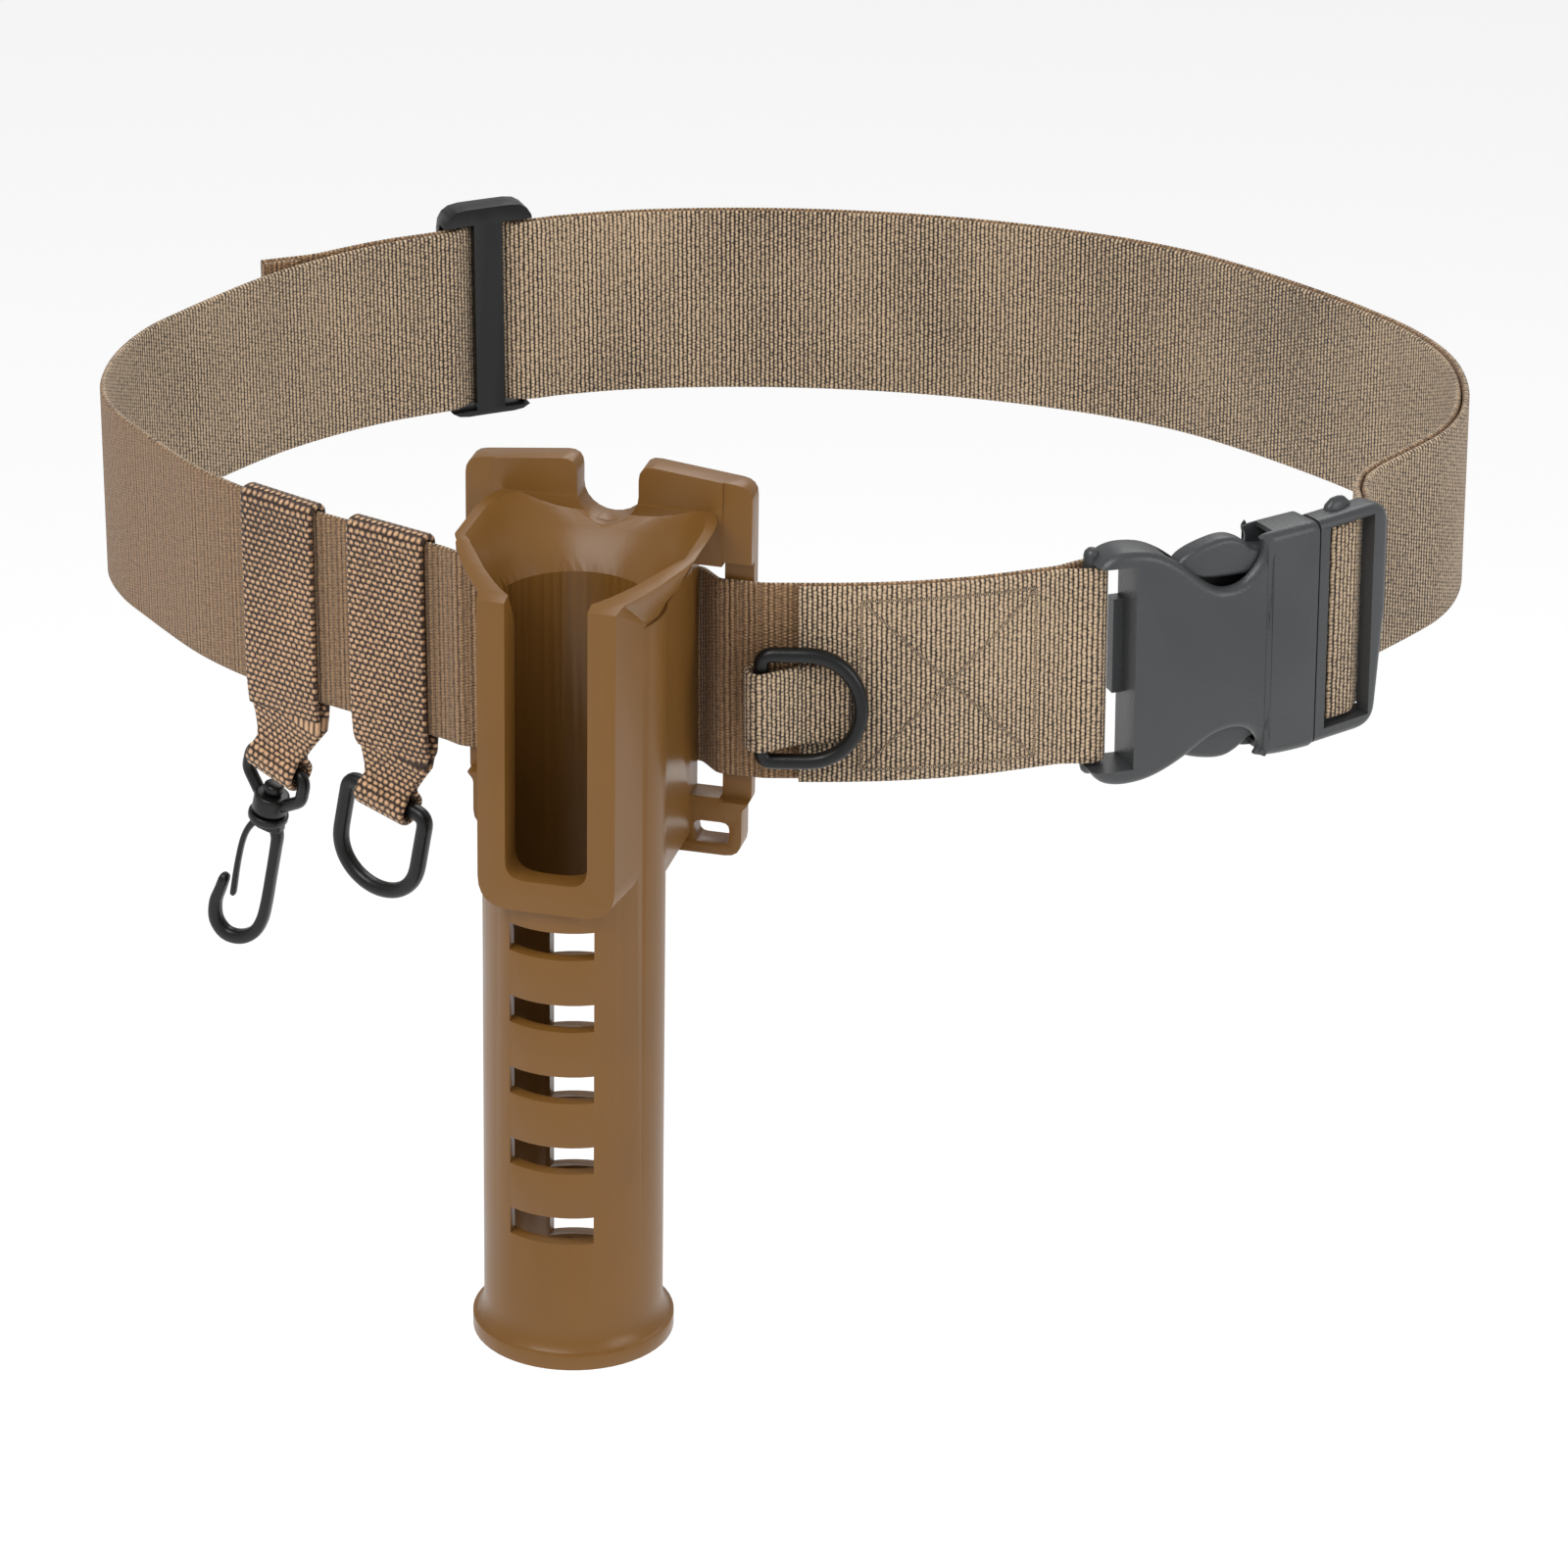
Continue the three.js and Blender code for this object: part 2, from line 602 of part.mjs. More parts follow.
// The cheeks run from the side walls to the rim round the opening, and their top
// slopes down as the mouth does
function cheeks() {
  const { halfWidth, bottom, corner, front } = RIM;
  const ringAt = (half, l, top) => {
    const left = rounded([[0, bottom], [-half, bottom], [-half, top]], corner, 6);
    const right = left.slice(1).reverse().map(([w, z]) => [-w, z]);
    return [...left, ...right].map(([w, z]) => [w, -l, z]);
  };
  return solidOf(lofted([
    ringAt(halfWidth, front, MOUTH.kneeZ), ringAt(SIDE_WALL, MOUTH_OUTSIDE.corner[1], MOUTH.cornerZ),
    ringAt(SIDE_WALL, TUBE.axis, MOUTH.cornerZ),
  ]));
}

function openingCut() {
  const { halfWidth, bottom, corner } = OPENING;
  const outline = rounded([
    [0, bottom], [halfWidth, bottom], [halfWidth, FAR], [-halfWidth, FAR], [-halfWidth, bottom], [0, bottom],
  ], corner, 6);
  return solidOf(pushed(polygon(outline.slice(0, -1)), -RIM.front - 5, -TUBE.axis));
}

function rodHolder() {
  const { axis, outer, wall } = TUBE;
  const plate = solidOf(pushed(plateOutline(), 0, PLATE.thick));
  const walls = block(-SIDE_WALL, SIDE_WALL, -axis, BITE, RIM.bottom, MOUTH.start);
  const flare = solidOf(lofted(mouthRings(LIP, 0, MOUTH_OUTSIDE)));
  const cradle = flare.subtract(block(-FAR, FAR, CRADLE_BACK, FAR, -FAR, FAR));
  let body = joined(plate, walls, tubeOuter(), cheeks(), cradle);

  const bore = solidOf(upright(outer - wall, TUBE.bottom - 5, MOUTH.start + 0.01, 56))
    .translate([0, -axis, 0]);
  const mouth = solidOf(lofted(mouthRings(0, FAR, MOUTH_INSIDE)))
    .subtract(block(-FAR, FAR, -BITE, FAR, 0, FAR));
  const sideStrip = (depth, low, high) => [-1, 1].map((side) => block(
    Math.min(side * BELT_SLOT.outer, side * FAR), Math.max(side * BELT_SLOT.outer, side * FAR),
    -5, depth, low, high));
  const margins = sideStrip(-MARGIN_FACE, BELT_SLOT.bottom - 1, BELT_SLOT.top + 1);
  const lobeSteps = sideStrip(LOBE_STEP, BELT_SLOT.top, FAR);
  const slots = [-1, 1].map((side) => block(
    Math.min(side * BELT_SLOT.inner, side * BELT_SLOT.outer),
    Math.max(side * BELT_SLOT.inner, side * BELT_SLOT.outer),
    -1, PLATE.thick + 2, BELT_SLOT.bottom, BELT_SLOT.top));
  const holes = [-1, 1].map((side) => {
    const { inner, outer: far, bottom, top, corner } = LOWER_HOLE;
    const outline = rounded([
      [(inner + far) / 2, bottom], [far, bottom], [far, top], [inner, top], [inner, bottom],
      [(inner + far) / 2, bottom],
    ].map(([w, z]) => [side * w, z]), corner, 3).slice(0, -1);
    return solidOf(pushed(polygon(side > 0 ? outline : outline.reverse()), -2, PLATE.thick + 2));
  });
  const ports = [];
  for (let i = 0; i <= PORT.count; i += 1) {
    const middle = PORT.first - i * PORT.pitch;
    const nearest = i < PORT.count ? -axis - outer - PORT.reach : -axis;
    const farthest = i > 0 ? -axis + outer + PORT.reach : -axis;
    ports.push(block(-PORT.halfWidth, PORT.halfWidth, nearest, farthest,
      middle - PORT.height / 2, middle + PORT.height / 2));
  }
  body = cutBy(body, bore, mouth, notchCut(), openingCut(), mouthTrim(),
    ...margins, ...lobeSteps, ...slots, ...holes, ...ports);
  return geometryOf(body);
}

// Side release buckle
// A curved block that follows the waist line
function waistBlock(s0, s1, out0, out1, z0, z1, step = 5, place = onWaist) {
  const count = Math.max(1, Math.round((s1 - s0) / step));
  const near = [];
  const far = [];
  for (let i = 0; i <= count; i += 1) {
    const s = s0 + ((s1 - s0) * i) / count;
    near.push(place(s, out1));
    far.push(place(s, out0));
  }
  return solidOf(raised(polygon([...near, ...far.reverse()]), z0, z1));
}

function buckleBlock(s0, s1, out0, out1, z0, z1) {
  return waistBlock(s0, s1, out0, out1, z0, z1, 6, onBuckle);
}

// A solid made flat with x along the waist line, moved to a station
function atStation(geometry, station, out, z = 0, place = onWaist) {
  const [x, y] = place(station, out);
  return geometry.rotateZ(waistFrame(station).turn).translate(x, y, z);
}

// The same, on the single strap's own line
function onStrap(geometry, station, z = 0) {
  const { at, turn } = strapFrame(station);
  return geometry.rotateZ(turn).translate(at[0], at[1], z);
}

const BUCKLE_MIDDLE = (SOCKET.start + SOCKET.end) / 2;

// Outline of the socket's face: share of its length, how far its upper edge lies
// below the socket's top, and its lower edge above the socket's bottom
const SOCKET_FACE = [
  { along: 0, down: 7.6, up: 6.4 },
  { along: 0.05, down: 2.1, up: 1.6 },
  { along: 0.13, down: 0, up: 0 },
  { along: 0.24, down: 0.4, up: 0.4 },
  { along: 0.33, down: 2.6, up: 2.2 },
  { along: 0.42, down: 6.6, up: 5 },
  { along: 0.49, down: 10.6, up: 7.8 },
  { along: 0.56, down: 13.2, up: 9.8 },
  { along: 0.64, down: 13, up: 10.2 },
  { along: 0.7, down: 10.6, up: 9 },
  { along: 0.745, down: 7, up: 6.4 },
  { along: 0.75, down: 3.8, up: 3.8 },
  { along: 0.72, down: 2, up: 1.8 },
  { along: 0.85, down: 1.2, up: 0.4 },
  { along: 0.96, down: 1.4, up: 0.2 },
  { along: 1, down: 2.8, up: 2 },
];

function faceCut(points, station) {
  const geometry = pushed(polygon(points.slice().reverse()), -FAR, FAR);
  return solidOf(atStation(geometry, station, 0));
}

function socket() {
  const length = SOCKET.end - SOCKET.start;
  const upper = SOCKET_FACE.map(({ along, down }) => [(along - 0.5) * length, SOCKET.top - down]);
  const lower = SOCKET_FACE.map(({ along, up }) => [(along - 0.5) * length, SOCKET.bottom + up]);
  const face = [...upper, ...lower.reverse()];
  const { start, end, inner, outer, wall, top: high, bottom: low } = SOCKET;
  const bulk = buckleBlock(start - 2, end + 0.01, inner, outer, low, high);
  const shell = bulk.intersect(faceCut(face, BUCKLE_MIDDLE));
  const cavity = buckleBlock(CAVITY_START, end + 5, inner + wall, outer - wall,
    low + CAVITY_ROOF, high - CAVITY_ROOF);
  const pockets = [-1, 1].map((side) => buckleBlock(CAVITY_START + 4, start + length * 0.8,
    inner + wall, outer - wall,
    side > 0 ? POCKET_FLOOR : low - 3, side > 0 ? high + 3 : -POCKET_FLOOR));
  const webWay = buckleBlock(start - 4, SOCKET_SLOT.end, inner - 3, outer + 3, -WINDOW_HALF, WINDOW_HALF);
  const bar = atStation(upright(SOCKET_BAR.radius, -WINDOW_HALF - 1, WINDOW_HALF + 1, 12),
    SOCKET_BAR.at, SOCKET_BAR.out, 0, onBuckle);
  const boss = buckleBlock(SOCKET_SLOT.start + 1.2, SOCKET_SLOT.end + 0.5, inner, SOCKET_BAR.out,
    SOCKET_BOSS.bottom, SOCKET_BOSS.top);
  return geometryOf(cutBy(shell, cavity, ...pockets, webWay).add(solidOf(bar)).add(boss));
}

// Outline of a prong: station, and its lower and upper edges from the strap's edge
const PRONG = [
  { s: 90.5, low: -4, high: -1.6 },
  { s: 93, low: -5.5, high: 0.8 },
  { s: 98, low: -6.4, high: 2.6 },
  { s: 104, low: -6.8, high: 3.6 },
  { s: 108.5, low: -7, high: 1.6 },
  { s: 111, low: -7.2, high: -1.2 },
  { s: 129, low: -7.4, high: -1.6 },
];

function plug() {
  const { base, baseThick, end, inner, outer, top: high, bottom: low } = PLUG;
  const middle = (SOCKET.inner + SOCKET.outer) / 2;
  const prongBulk = buckleBlock(PRONG[0].s - 1, base + 1, middle - PRONG_THICK / 2,
    middle + PRONG_THICK / 2, low - 3, high + 3);
  const prongs = [-1, 1].map((side) => {
    const upper = PRONG.map((r) => [r.s - BUCKLE_MIDDLE, side * (WEB_EDGE + r.high)]);
    const lower = PRONG.map((r) => [r.s - BUCKLE_MIDDLE, side * (WEB_EDGE + r.low)]).reverse();
    const points = [...upper, ...lower];
    return prongBulk.intersect(faceCut(side > 0 ? points : points.reverse(), BUCKLE_MIDDLE));
  });
  const guide = buckleBlock(PLUG_GUIDE.start, base + 1, middle - PRONG_THICK / 2,
    middle + PRONG_THICK / 2, -PLUG_GUIDE.halfHeight, PLUG_GUIDE.halfHeight);
  const plugMiddle = (base + end) / 2;
  const reach = (end - base) / 2;
  const face = rounded([
    [-reach, 0], [-reach, low], [reach - PLUG_TAPER, low], [reach, 0], [reach, high],
    [-reach, high], [-reach, 0],
  ], 4).slice(0, -1).reverse();
  const frame = buckleBlock(base, end, inner, outer, low, high)
    .intersect(faceCut(face, plugMiddle));
  const window = buckleBlock(base + baseThick, PLUG_END_BAR.start, inner - 3, outer + 3,
    -WINDOW_HALF, WINDOW_HALF);
  const strapWay = buckleBlock(base + baseThick, end + 3, inner - 3, PLUG_END_BAR.inner,
    -WINDOW_HALF, WINDOW_HALF);
  const barEnd = (station) => solidOf(atStation(
    upright(PLUG_BAR.radius, -WINDOW_HALF - 1, WINDOW_HALF + 1, 12), station, PLUG_BAR.out, 0, onBuckle));
  const bar = joined(barEnd(PLUG_BAR.left), barEnd(PLUG_BAR.right), buckleBlock(PLUG_BAR.left,
    PLUG_BAR.right, PLUG_BAR.out - PLUG_BAR.radius, PLUG_BAR.out + PLUG_BAR.radius,
    -WINDOW_HALF - 1, WINDOW_HALF + 1));
  return geometryOf(joined(cutBy(frame, window, strapWay), bar, ...prongs, guide));
}

// Tri-glide: a bowed frame whose middle bar lies inside the strap
function triGlide() {
  const { start, halfHeight, side, slot, middle, bar } = GLIDE;
  const low = GLIDE.z - halfHeight;
  const high = GLIDE.z + halfHeight;
  const bulk = waistBlock(start, GLIDE_END, GLIDE_OUT.middle, GLIDE_OUT.side + bar, low, high, 4);
  const reach = (GLIDE_END - start) / 2;
  const face = rounded([
    [-reach, 0], [-reach, low], [reach, low], [reach, high], [-reach, high], [-reach, 0],
  ], 6).slice(0, -1).reverse();
  const frame = bulk.intersect(faceCut(face, start + reach));
  const middleStart = start + side + slot;
  const { inner: cutIn, outer: cutOut } = GLIDE_CUT;
  const firstSlot = waistBlock(start + side, middleStart, cutIn, cutOut, -WINDOW_HALF, WINDOW_HALF);
  const lastSlot = waistBlock(middleStart + middle, GLIDE_END - side, cutIn, cutOut,
    -WINDOW_HALF, WINDOW_HALF);
  const underSides = waistBlock(start - 3, GLIDE_END + 3, cutIn, GLIDE_OUT.side,
    -WINDOW_HALF, WINDOW_HALF, 4);
  const overMiddle = waistBlock(middleStart - 0.1, middleStart + middle + 0.1, GLIDE_OUT.middle + bar, cutOut,
    -WINDOW_HALF, WINDOW_HALF, 4);
  const middleBar = waistBlock(middleStart, middleStart + middle, GLIDE_OUT.middle,
    GLIDE_OUT.middle + bar, low + GLIDE_BAR_END, high - GLIDE_BAR_END, 4);
  const rails = cutBy(frame, firstSlot, lastSlot, underSides, overMiddle);
  return geometryOf(rails.add(middleBar));
}

// A D-shaped ring lying in x and z: straight bar at x = 0, bow towards +x
function dRing(width, height, wire) {
  const half = height / 2;
  const bow = (edge, corner) => {
    const shape = new THREE.Shape();
    const reach = half - edge;
    const far = width - edge;
    shape.moveTo(edge, reach - corner);
    shape.quadraticCurveTo(edge, reach, edge + corner, reach);
    shape.lineTo(far - reach * 0.95, reach);
    shape.bezierCurveTo(far - reach * 0.35, reach, far, reach * 0.5, far, 0);
    shape.bezierCurveTo(far, -reach * 0.5, far - reach * 0.35, -reach, far - reach * 0.95, -reach);
    shape.lineTo(edge + corner, -reach);
    shape.quadraticCurveTo(edge, -reach, edge, -reach + corner);
    shape.closePath();
    return shape;
  };
  const outline = bow(0, 3.5);
  outline.holes.push(new THREE.Path(bow(wire, 2).getPoints(5).reverse()));
  return new THREE.ExtrudeGeometry(outline, {
    depth: wire - 1.2, bevelEnabled: true, bevelThickness: 0.6, bevelSize: 0.6, bevelOffset: -0.6,
    bevelSegments: 1, curveSegments: 5,
  }).translate(-wire / 2, 0, -(wire - 1.2) / 2).rotateX(Math.PI / 2);
}

const FRONT_RING_OUT = 1 + FRONT_RING.lift;

// The tab comes out of the seam, goes round the ring's bar and back
function ringTab() {
  const turn = waistFrame(FRONT_RING.barAt).turn;
  const bar = onWaist(FRONT_RING.barAt, FRONT_RING_OUT);
  const radius = RING_WIRE * 0.68 + CLEAR + TAB.thick / 2;
  const loop = turnAround(bar, radius, turn + Math.PI / 2, turn + Math.PI * 1.5, 10);
  const seamFace = FRONT_PAIR[0].out + PAIR_STEP / 2 + WEB_THICK / 2;
  const inner = onWaist(SEAM_AT - 1.4, FRONT_RING_OUT - radius);
  const overEnd = onWaist(TAB.end, seamFace + 0.6 + TAB.thick / 2);
  const over = onWaist(SEAM_AT + 1, seamFace + 0.9 + TAB.thick / 2);
  return raised(clothBand([inner, ...loop, over, overEnd], TAB.thick),
    TAB.z - TAB.width / 2, TAB.z + TAB.width / 2);
}

// Hanging loops: section across the belt, out along x and z up
function loopSection() {
  const { thick, tack, eye, eyeRadius } = LOOP;
  const hole = WEB_THICK / 2 + CLEAR + LOOP.ease;
  const side = hole + thick;
  const top = WEB_EDGE + CLEAR;
  const eyeSide = eyeRadius + thick;
  const right = [
    [0, top + thick], [side * 0.8, top + thick], [side, top], [side, -WEB_EDGE],
    [thick, tack + 2], [thick, tack], [eyeSide * 0.8, eye + eyeSide * 0.6], [eyeSide, eye],
    [eyeSide * 0.7, eye - eyeSide * 0.7], [0, eye - eyeSide],
  ];
  const left = right.slice(1, -1).reverse().map(([x, z]) => [-x, z]);
  const shape = polygon([...right, ...left].reverse());
  shape.holes.push(new THREE.Path([
    [-hole, top], [-hole, -WEB_EDGE], [0, tack + 5], [hole, -WEB_EDGE], [hole, top],
  ].map(([x, z]) => new THREE.Vector2(x, z))));
  const bore = new THREE.Path();
  bore.absarc(0, eye, eyeRadius, 0, Math.PI * 2, true);
  shape.holes.push(bore);
  return shape;
}

// Everything below a loop's bend swings sideways by a few degrees
function swung(geometry, { swing, from }) {
  const angle = THREE.MathUtils.degToRad(swing);
  const position = geometry.attributes.position;
  const point = new THREE.Vector3();
  for (let i = 0; i < position.count; i += 1) {
    point.fromBufferAttribute(position, i);
    if (point.z < from) {
      const below = from - point.z;
      const across = point.x;
      point.x = across * Math.cos(angle) - below * Math.sin(angle);
      point.z = from - across * Math.sin(angle) - below * Math.cos(angle);
      position.setXYZ(i, point.x, point.y, point.z);
    }
  }
  geometry.computeVertexNormals();
  return geometry;
}

function hangingLoop(loop) {
  const { width, tack, eye, eyeWidth } = LOOP;
  const band = raised(loopSection(), -width / 2, width / 2, 5).rotateX(Math.PI / 2)
    .rotateZ(-Math.PI / 2);
  const half = width / 2;
  const face = polygon([
    [-half - 1, FAR], [-half - 1, tack + 3], [-eyeWidth / 2, eye + 2], [-eyeWidth / 2, eye - 8],
    [eyeWidth / 2, eye - 8], [eyeWidth / 2, eye + 2], [half + 1, tack + 3], [half + 1, FAR],
  ]);
  const trimmed = solidOf(band).intersect(solidOf(pushed(face, -20, 20)));
  return onStrap(swung(geometryOf(trimmed), loop), loop.at);
}

function hangingRing() {
  const { width, drop } = HANGING_RING;
  return dRing(drop, width, BAR_RADIUS * 2).rotateY(Math.PI / 2);
}

// Eye of the snap hook: a bow with a straight bar, and a collar that takes the post
function hookEye() {
  const { halfWidth, drop, wire, thick } = EYE;
  const outline = rounded([
    [0, wire / 2], [-halfWidth, wire / 2], [-halfWidth, -drop * 0.62], [-COLLAR.radius, -drop - 1.6],
    [COLLAR.radius, -drop - 1.6], [halfWidth, -drop * 0.62], [halfWidth, wire / 2], [0, wire / 2],
  ], 3.4).slice(0, -1);
  const inner = halfWidth - wire;
  const window = rounded([
    [0, -wire / 2], [-inner, -wire / 2], [-inner, -drop * 0.5], [-COLLAR.radius, -drop + 2.6],
    [COLLAR.radius, -drop + 2.6], [inner, -drop * 0.5], [inner, -wire / 2], [0, -wire / 2],
  ], 1.6).slice(0, -1);
  const bow = solidOf(pushed(polygon(outline), -thick / 2, thick / 2))
    .subtract(solidOf(pushed(polygon(window), -thick, thick)));
  const collar = solidOf(upright(COLLAR.radius, -drop - COLLAR.height / 2, -drop + COLLAR.height / 2, 16));
  const hole = solidOf(upright(POST.radius + CLEAR, -drop - 8, -drop + COLLAR.height / 2 + 0.5, 16));
  return geometryOf(bow.add(collar).subtract(hole));
}

// Middle line and width of the hook and of its gate, in x and z below the neck
const HOOK_LINE = [
  { x: -0.8, z: -2.2, wide: 3 },
  { x: 2, z: -3, wide: 3.4 },
  { x: 3.4, z: -5.6, wide: 3 },
  { x: 3.7, z: -9, wide: 2.8 },
  { x: 4, z: -18, wide: 2.7 },
  { x: 4.2, z: -26, wide: 2.8 },
  { x: 3.9, z: -31.5, wide: 3 },
  { x: 2.4, z: -35.8, wide: 3.3 },
  { x: -0.9, z: -38.8, wide: 3.7 },
  { x: -4.8, z: -39.4, wide: 3.9 },
  { x: -8, z: -36.8, wide: 3.6 },
  { x: -9.1, z: -32, wide: 3.1 },
  { x: -8.5, z: -27.5, wide: 2.8 },
  { x: -8.1, z: -24.4, wide: 2.6 },
];
const GATE_LINE = [
  { x: -0.8, z: -2.6, wide: 2.2 },
  { x: -3.2, z: -4.6, wide: 1.9 },
  { x: -5, z: -9.4, wide: 1.5 },
  { x: -5.4, z: -17, wide: 1.4 },
  { x: -5, z: -27, wide: 1.5 },
];
const CROWN = [[-4, -1], [3.9, -1], [4.6, -4.2], [1.6, -5], [-1.4, -5], [-3.6, -4.4]];

function stroke(rows) {
  const middle = rows.map(({ x, z }) => [x, z]);
  const side = (sign) => middle.map((point, i) => shifted(middle, (sign * rows[i].wide) / 2)[i]);
  return polygon([...side(1), ...side(-1).reverse()]);
}

function snapHook() {
  const { thick } = HOOK;
  const bow = solidOf(pushed(stroke(HOOK_LINE), -thick / 2, thick / 2));
  const gate = solidOf(pushed(stroke(GATE_LINE), -thick / 3, thick / 3));
  const neck = solidOf(upright(NECK_RADIUS, -2, 0, 16));
  const post = solidOf(upright(POST.radius, -2, CLEAR * 2 + COLLAR.height + 0.5, 12));
  const knobStart = CLEAR * 2 + COLLAR.height;
  const knob = solidOf(upright(POST.knobRadius, knobStart, knobStart + POST.knobHeight, 12));
  const crown = solidOf(pushed(polygon(CROWN.slice().reverse()), -thick / 2, thick / 2));
  return geometryOf(joined(neck, post, knob, bow, gate, crown));
}

// Assembly
const belt = new THREE.Group();

function added(name, geometry, material, parent = belt) {
  const mesh = new THREE.Mesh(geometry, material);
  mesh.name = name;
  parent.add(mesh);
  return mesh;
}

added('waist_strap', strap(), strapCloth);

const holderFrame = new THREE.Group();
holderFrame.position.set(HOLDER_AT.x, HOLDER_AT.y, 0);
holderFrame.rotation.set(0, THREE.MathUtils.degToRad(HOLDER_LEAN), holderTurn, 'ZYX');
belt.add(holderFrame);
added('rod_holder', rodHolder(), tanPlastic, holderFrame);

added('buckle_socket', socket(), blackPlastic);
added('buckle_plug', plug(), blackPlastic);
added('tri_glide', triGlide(), blackPlastic);
const frontRingFrame = new THREE.Group();
frontRingFrame.position.set(...onWaist(FRONT_RING.barAt, FRONT_RING_OUT), FRONT_RING.z);
frontRingFrame.rotation.z = waistFrame(FRONT_RING.barAt).turn;
belt.add(frontRingFrame);
added('front_d_ring', dRing(FRONT_RING.width, FRONT_RING.height, RING_WIRE), blackPlastic, frontRingFrame);
added('d_ring_tab', ringTab(), strapCloth);
added('hook_loop', hangingLoop(HOOK_LOOP), loopCloth);
added('ring_loop', hangingLoop(RING_LOOP), loopCloth);

// The frame of what hangs in a loop's eye, its x along the bar
function hangingFrame({ at: station, swing, from }) {
  const { at, turn } = strapFrame(station);
  const angle = THREE.MathUtils.degToRad(swing);
  const below = from - LOOP.eye;
  const aside = below * Math.sin(angle);
  const frame = new THREE.Group();
  frame.position.set(
    at[0] - aside * Math.cos(turn), at[1] - aside * Math.sin(turn), from - below * Math.cos(angle));
  frame.rotation.set(0, angle, turn, 'ZYX');
  belt.add(frame);
  return frame;
}

added('hanging_d_ring', hangingRing(), blackPlastic, hangingFrame(RING_LOOP));
const eyeFrame = hangingFrame(HOOK_LOOP);
added('hook_eye', hookEye(), blackPlastic, eyeFrame);

const hookFrame = new THREE.Group();
hookFrame.position.set(0, 0, -EYE.drop - COLLAR.height / 2 - CLEAR);
hookFrame.rotation.z = THREE.MathUtils.degToRad(HOOK.turn);
eyeFrame.add(hookFrame);
added('snap_hook', snapHook(), blackPlastic, hookFrame);

export default belt;
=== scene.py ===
"""A fishing fighting belt: a woven waist strap with a moulded rod holder, a side release
buckle, a tri-glide, D-rings and a swivel snap hook on webbing loops.

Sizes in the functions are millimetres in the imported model's frame. Meshes are in metres."""

import bmesh
import bpy
import numpy as np
from bpy.props import FloatProperty, FloatVectorProperty, PointerProperty
from bpy.types import Operator, Panel, PropertyGroup
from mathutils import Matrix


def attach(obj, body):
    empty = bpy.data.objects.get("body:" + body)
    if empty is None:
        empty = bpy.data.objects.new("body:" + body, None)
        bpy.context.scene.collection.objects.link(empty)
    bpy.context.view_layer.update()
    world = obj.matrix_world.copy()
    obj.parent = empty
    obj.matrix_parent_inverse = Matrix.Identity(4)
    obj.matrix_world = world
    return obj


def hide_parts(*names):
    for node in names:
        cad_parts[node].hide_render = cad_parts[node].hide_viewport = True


bl_info = {
    "name": "Fishing fighting belt",
    "version": (1, 0, 0),
    "blender": (4, 5, 0),
    "location": "View3D > Sidebar > Belt",
    "description": "Builds a webbing waist belt with a moulded rod holder, buckle, rings and snap hook",
    "category": "Object",
}

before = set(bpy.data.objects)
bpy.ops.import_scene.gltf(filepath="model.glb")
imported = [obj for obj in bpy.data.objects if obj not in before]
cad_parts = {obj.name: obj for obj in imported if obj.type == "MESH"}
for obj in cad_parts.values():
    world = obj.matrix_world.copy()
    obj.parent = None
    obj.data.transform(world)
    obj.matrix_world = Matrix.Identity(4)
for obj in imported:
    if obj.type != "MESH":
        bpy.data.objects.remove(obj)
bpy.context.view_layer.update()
MM = 0.001

# Waist line and strap
WAIST_HALF_WIDTH = 167.5
WAIST_HALF_DEPTH = 125.0
WEB_WIDTH = 50.0
WEB_THICK = 1.7
LAYER_GAP = 0.4
CLEAR = 0.3
PAIR_STEP = WEB_THICK + LAYER_GAP
SEAM_AT = 1.0
BEND_RADIUS = 2.2
ROUTE_STEP = 0.8

# Rod holder
HOLDER_AT = (-43.85, -115.3)
HOLDER_TURN = np.radians(-14.3)
PLATE_HALF = 34.5
PLATE_THICK = 6.5
MARGIN_FACE = -3.0
SLOT_INNER, SLOT_OUTER = 20.4, 27.5

# Buckle, by stations along the waist line
BUCKLE_LIFT = (66.0, 0.055)
SOCKET_BAR = {"at": 71.4, "out": -2.6, "radius": 2.0}
SOCKET = {"start": 68.5, "end": 126.6, "inner": -6.0, "outer": 5.0, "wall": 2.2, "top": 29.6, "bottom": -30.4}
SOCKET_SLOT = (75.9, 79.6)
SOCKET_BOSS = (-9.0, 15.0)
CAVITY_START, CAVITY_ROOF, POCKET_FLOOR = 84.0, 2.6, 12.0
PLUG = {"base": 127.1, "base_thick": 2.6, "end": 148.2, "inner": -3.0, "outer": 4.8, "top": 28.2,
        "bottom": -29.6, "taper": 2.6}
PLUG_GUIDE = (96.0, 4.0)
PRONG_THICK = 5.6
WINDOW_HALF = WEB_WIDTH / 2 + 1
FAR = 40.0
PLUG_BAR = {"left": 134.0, "right": 138.2, "out": -0.6, "radius": 1.8}
PLUG_END_BAR = {"start": 143.0, "inner": 1.0}
PAST_BAR = {"socket": 0.2, "plug_inside": 0.3, "plug_outside": 0.62}

# Tri-glide
GLIDE = {"start": -393.0, "side": 3.1, "slot": 5.3, "middle": 7.8, "bar": 2.4}
GLIDE_OUT = {"side": 5.6, "middle": 1.3}

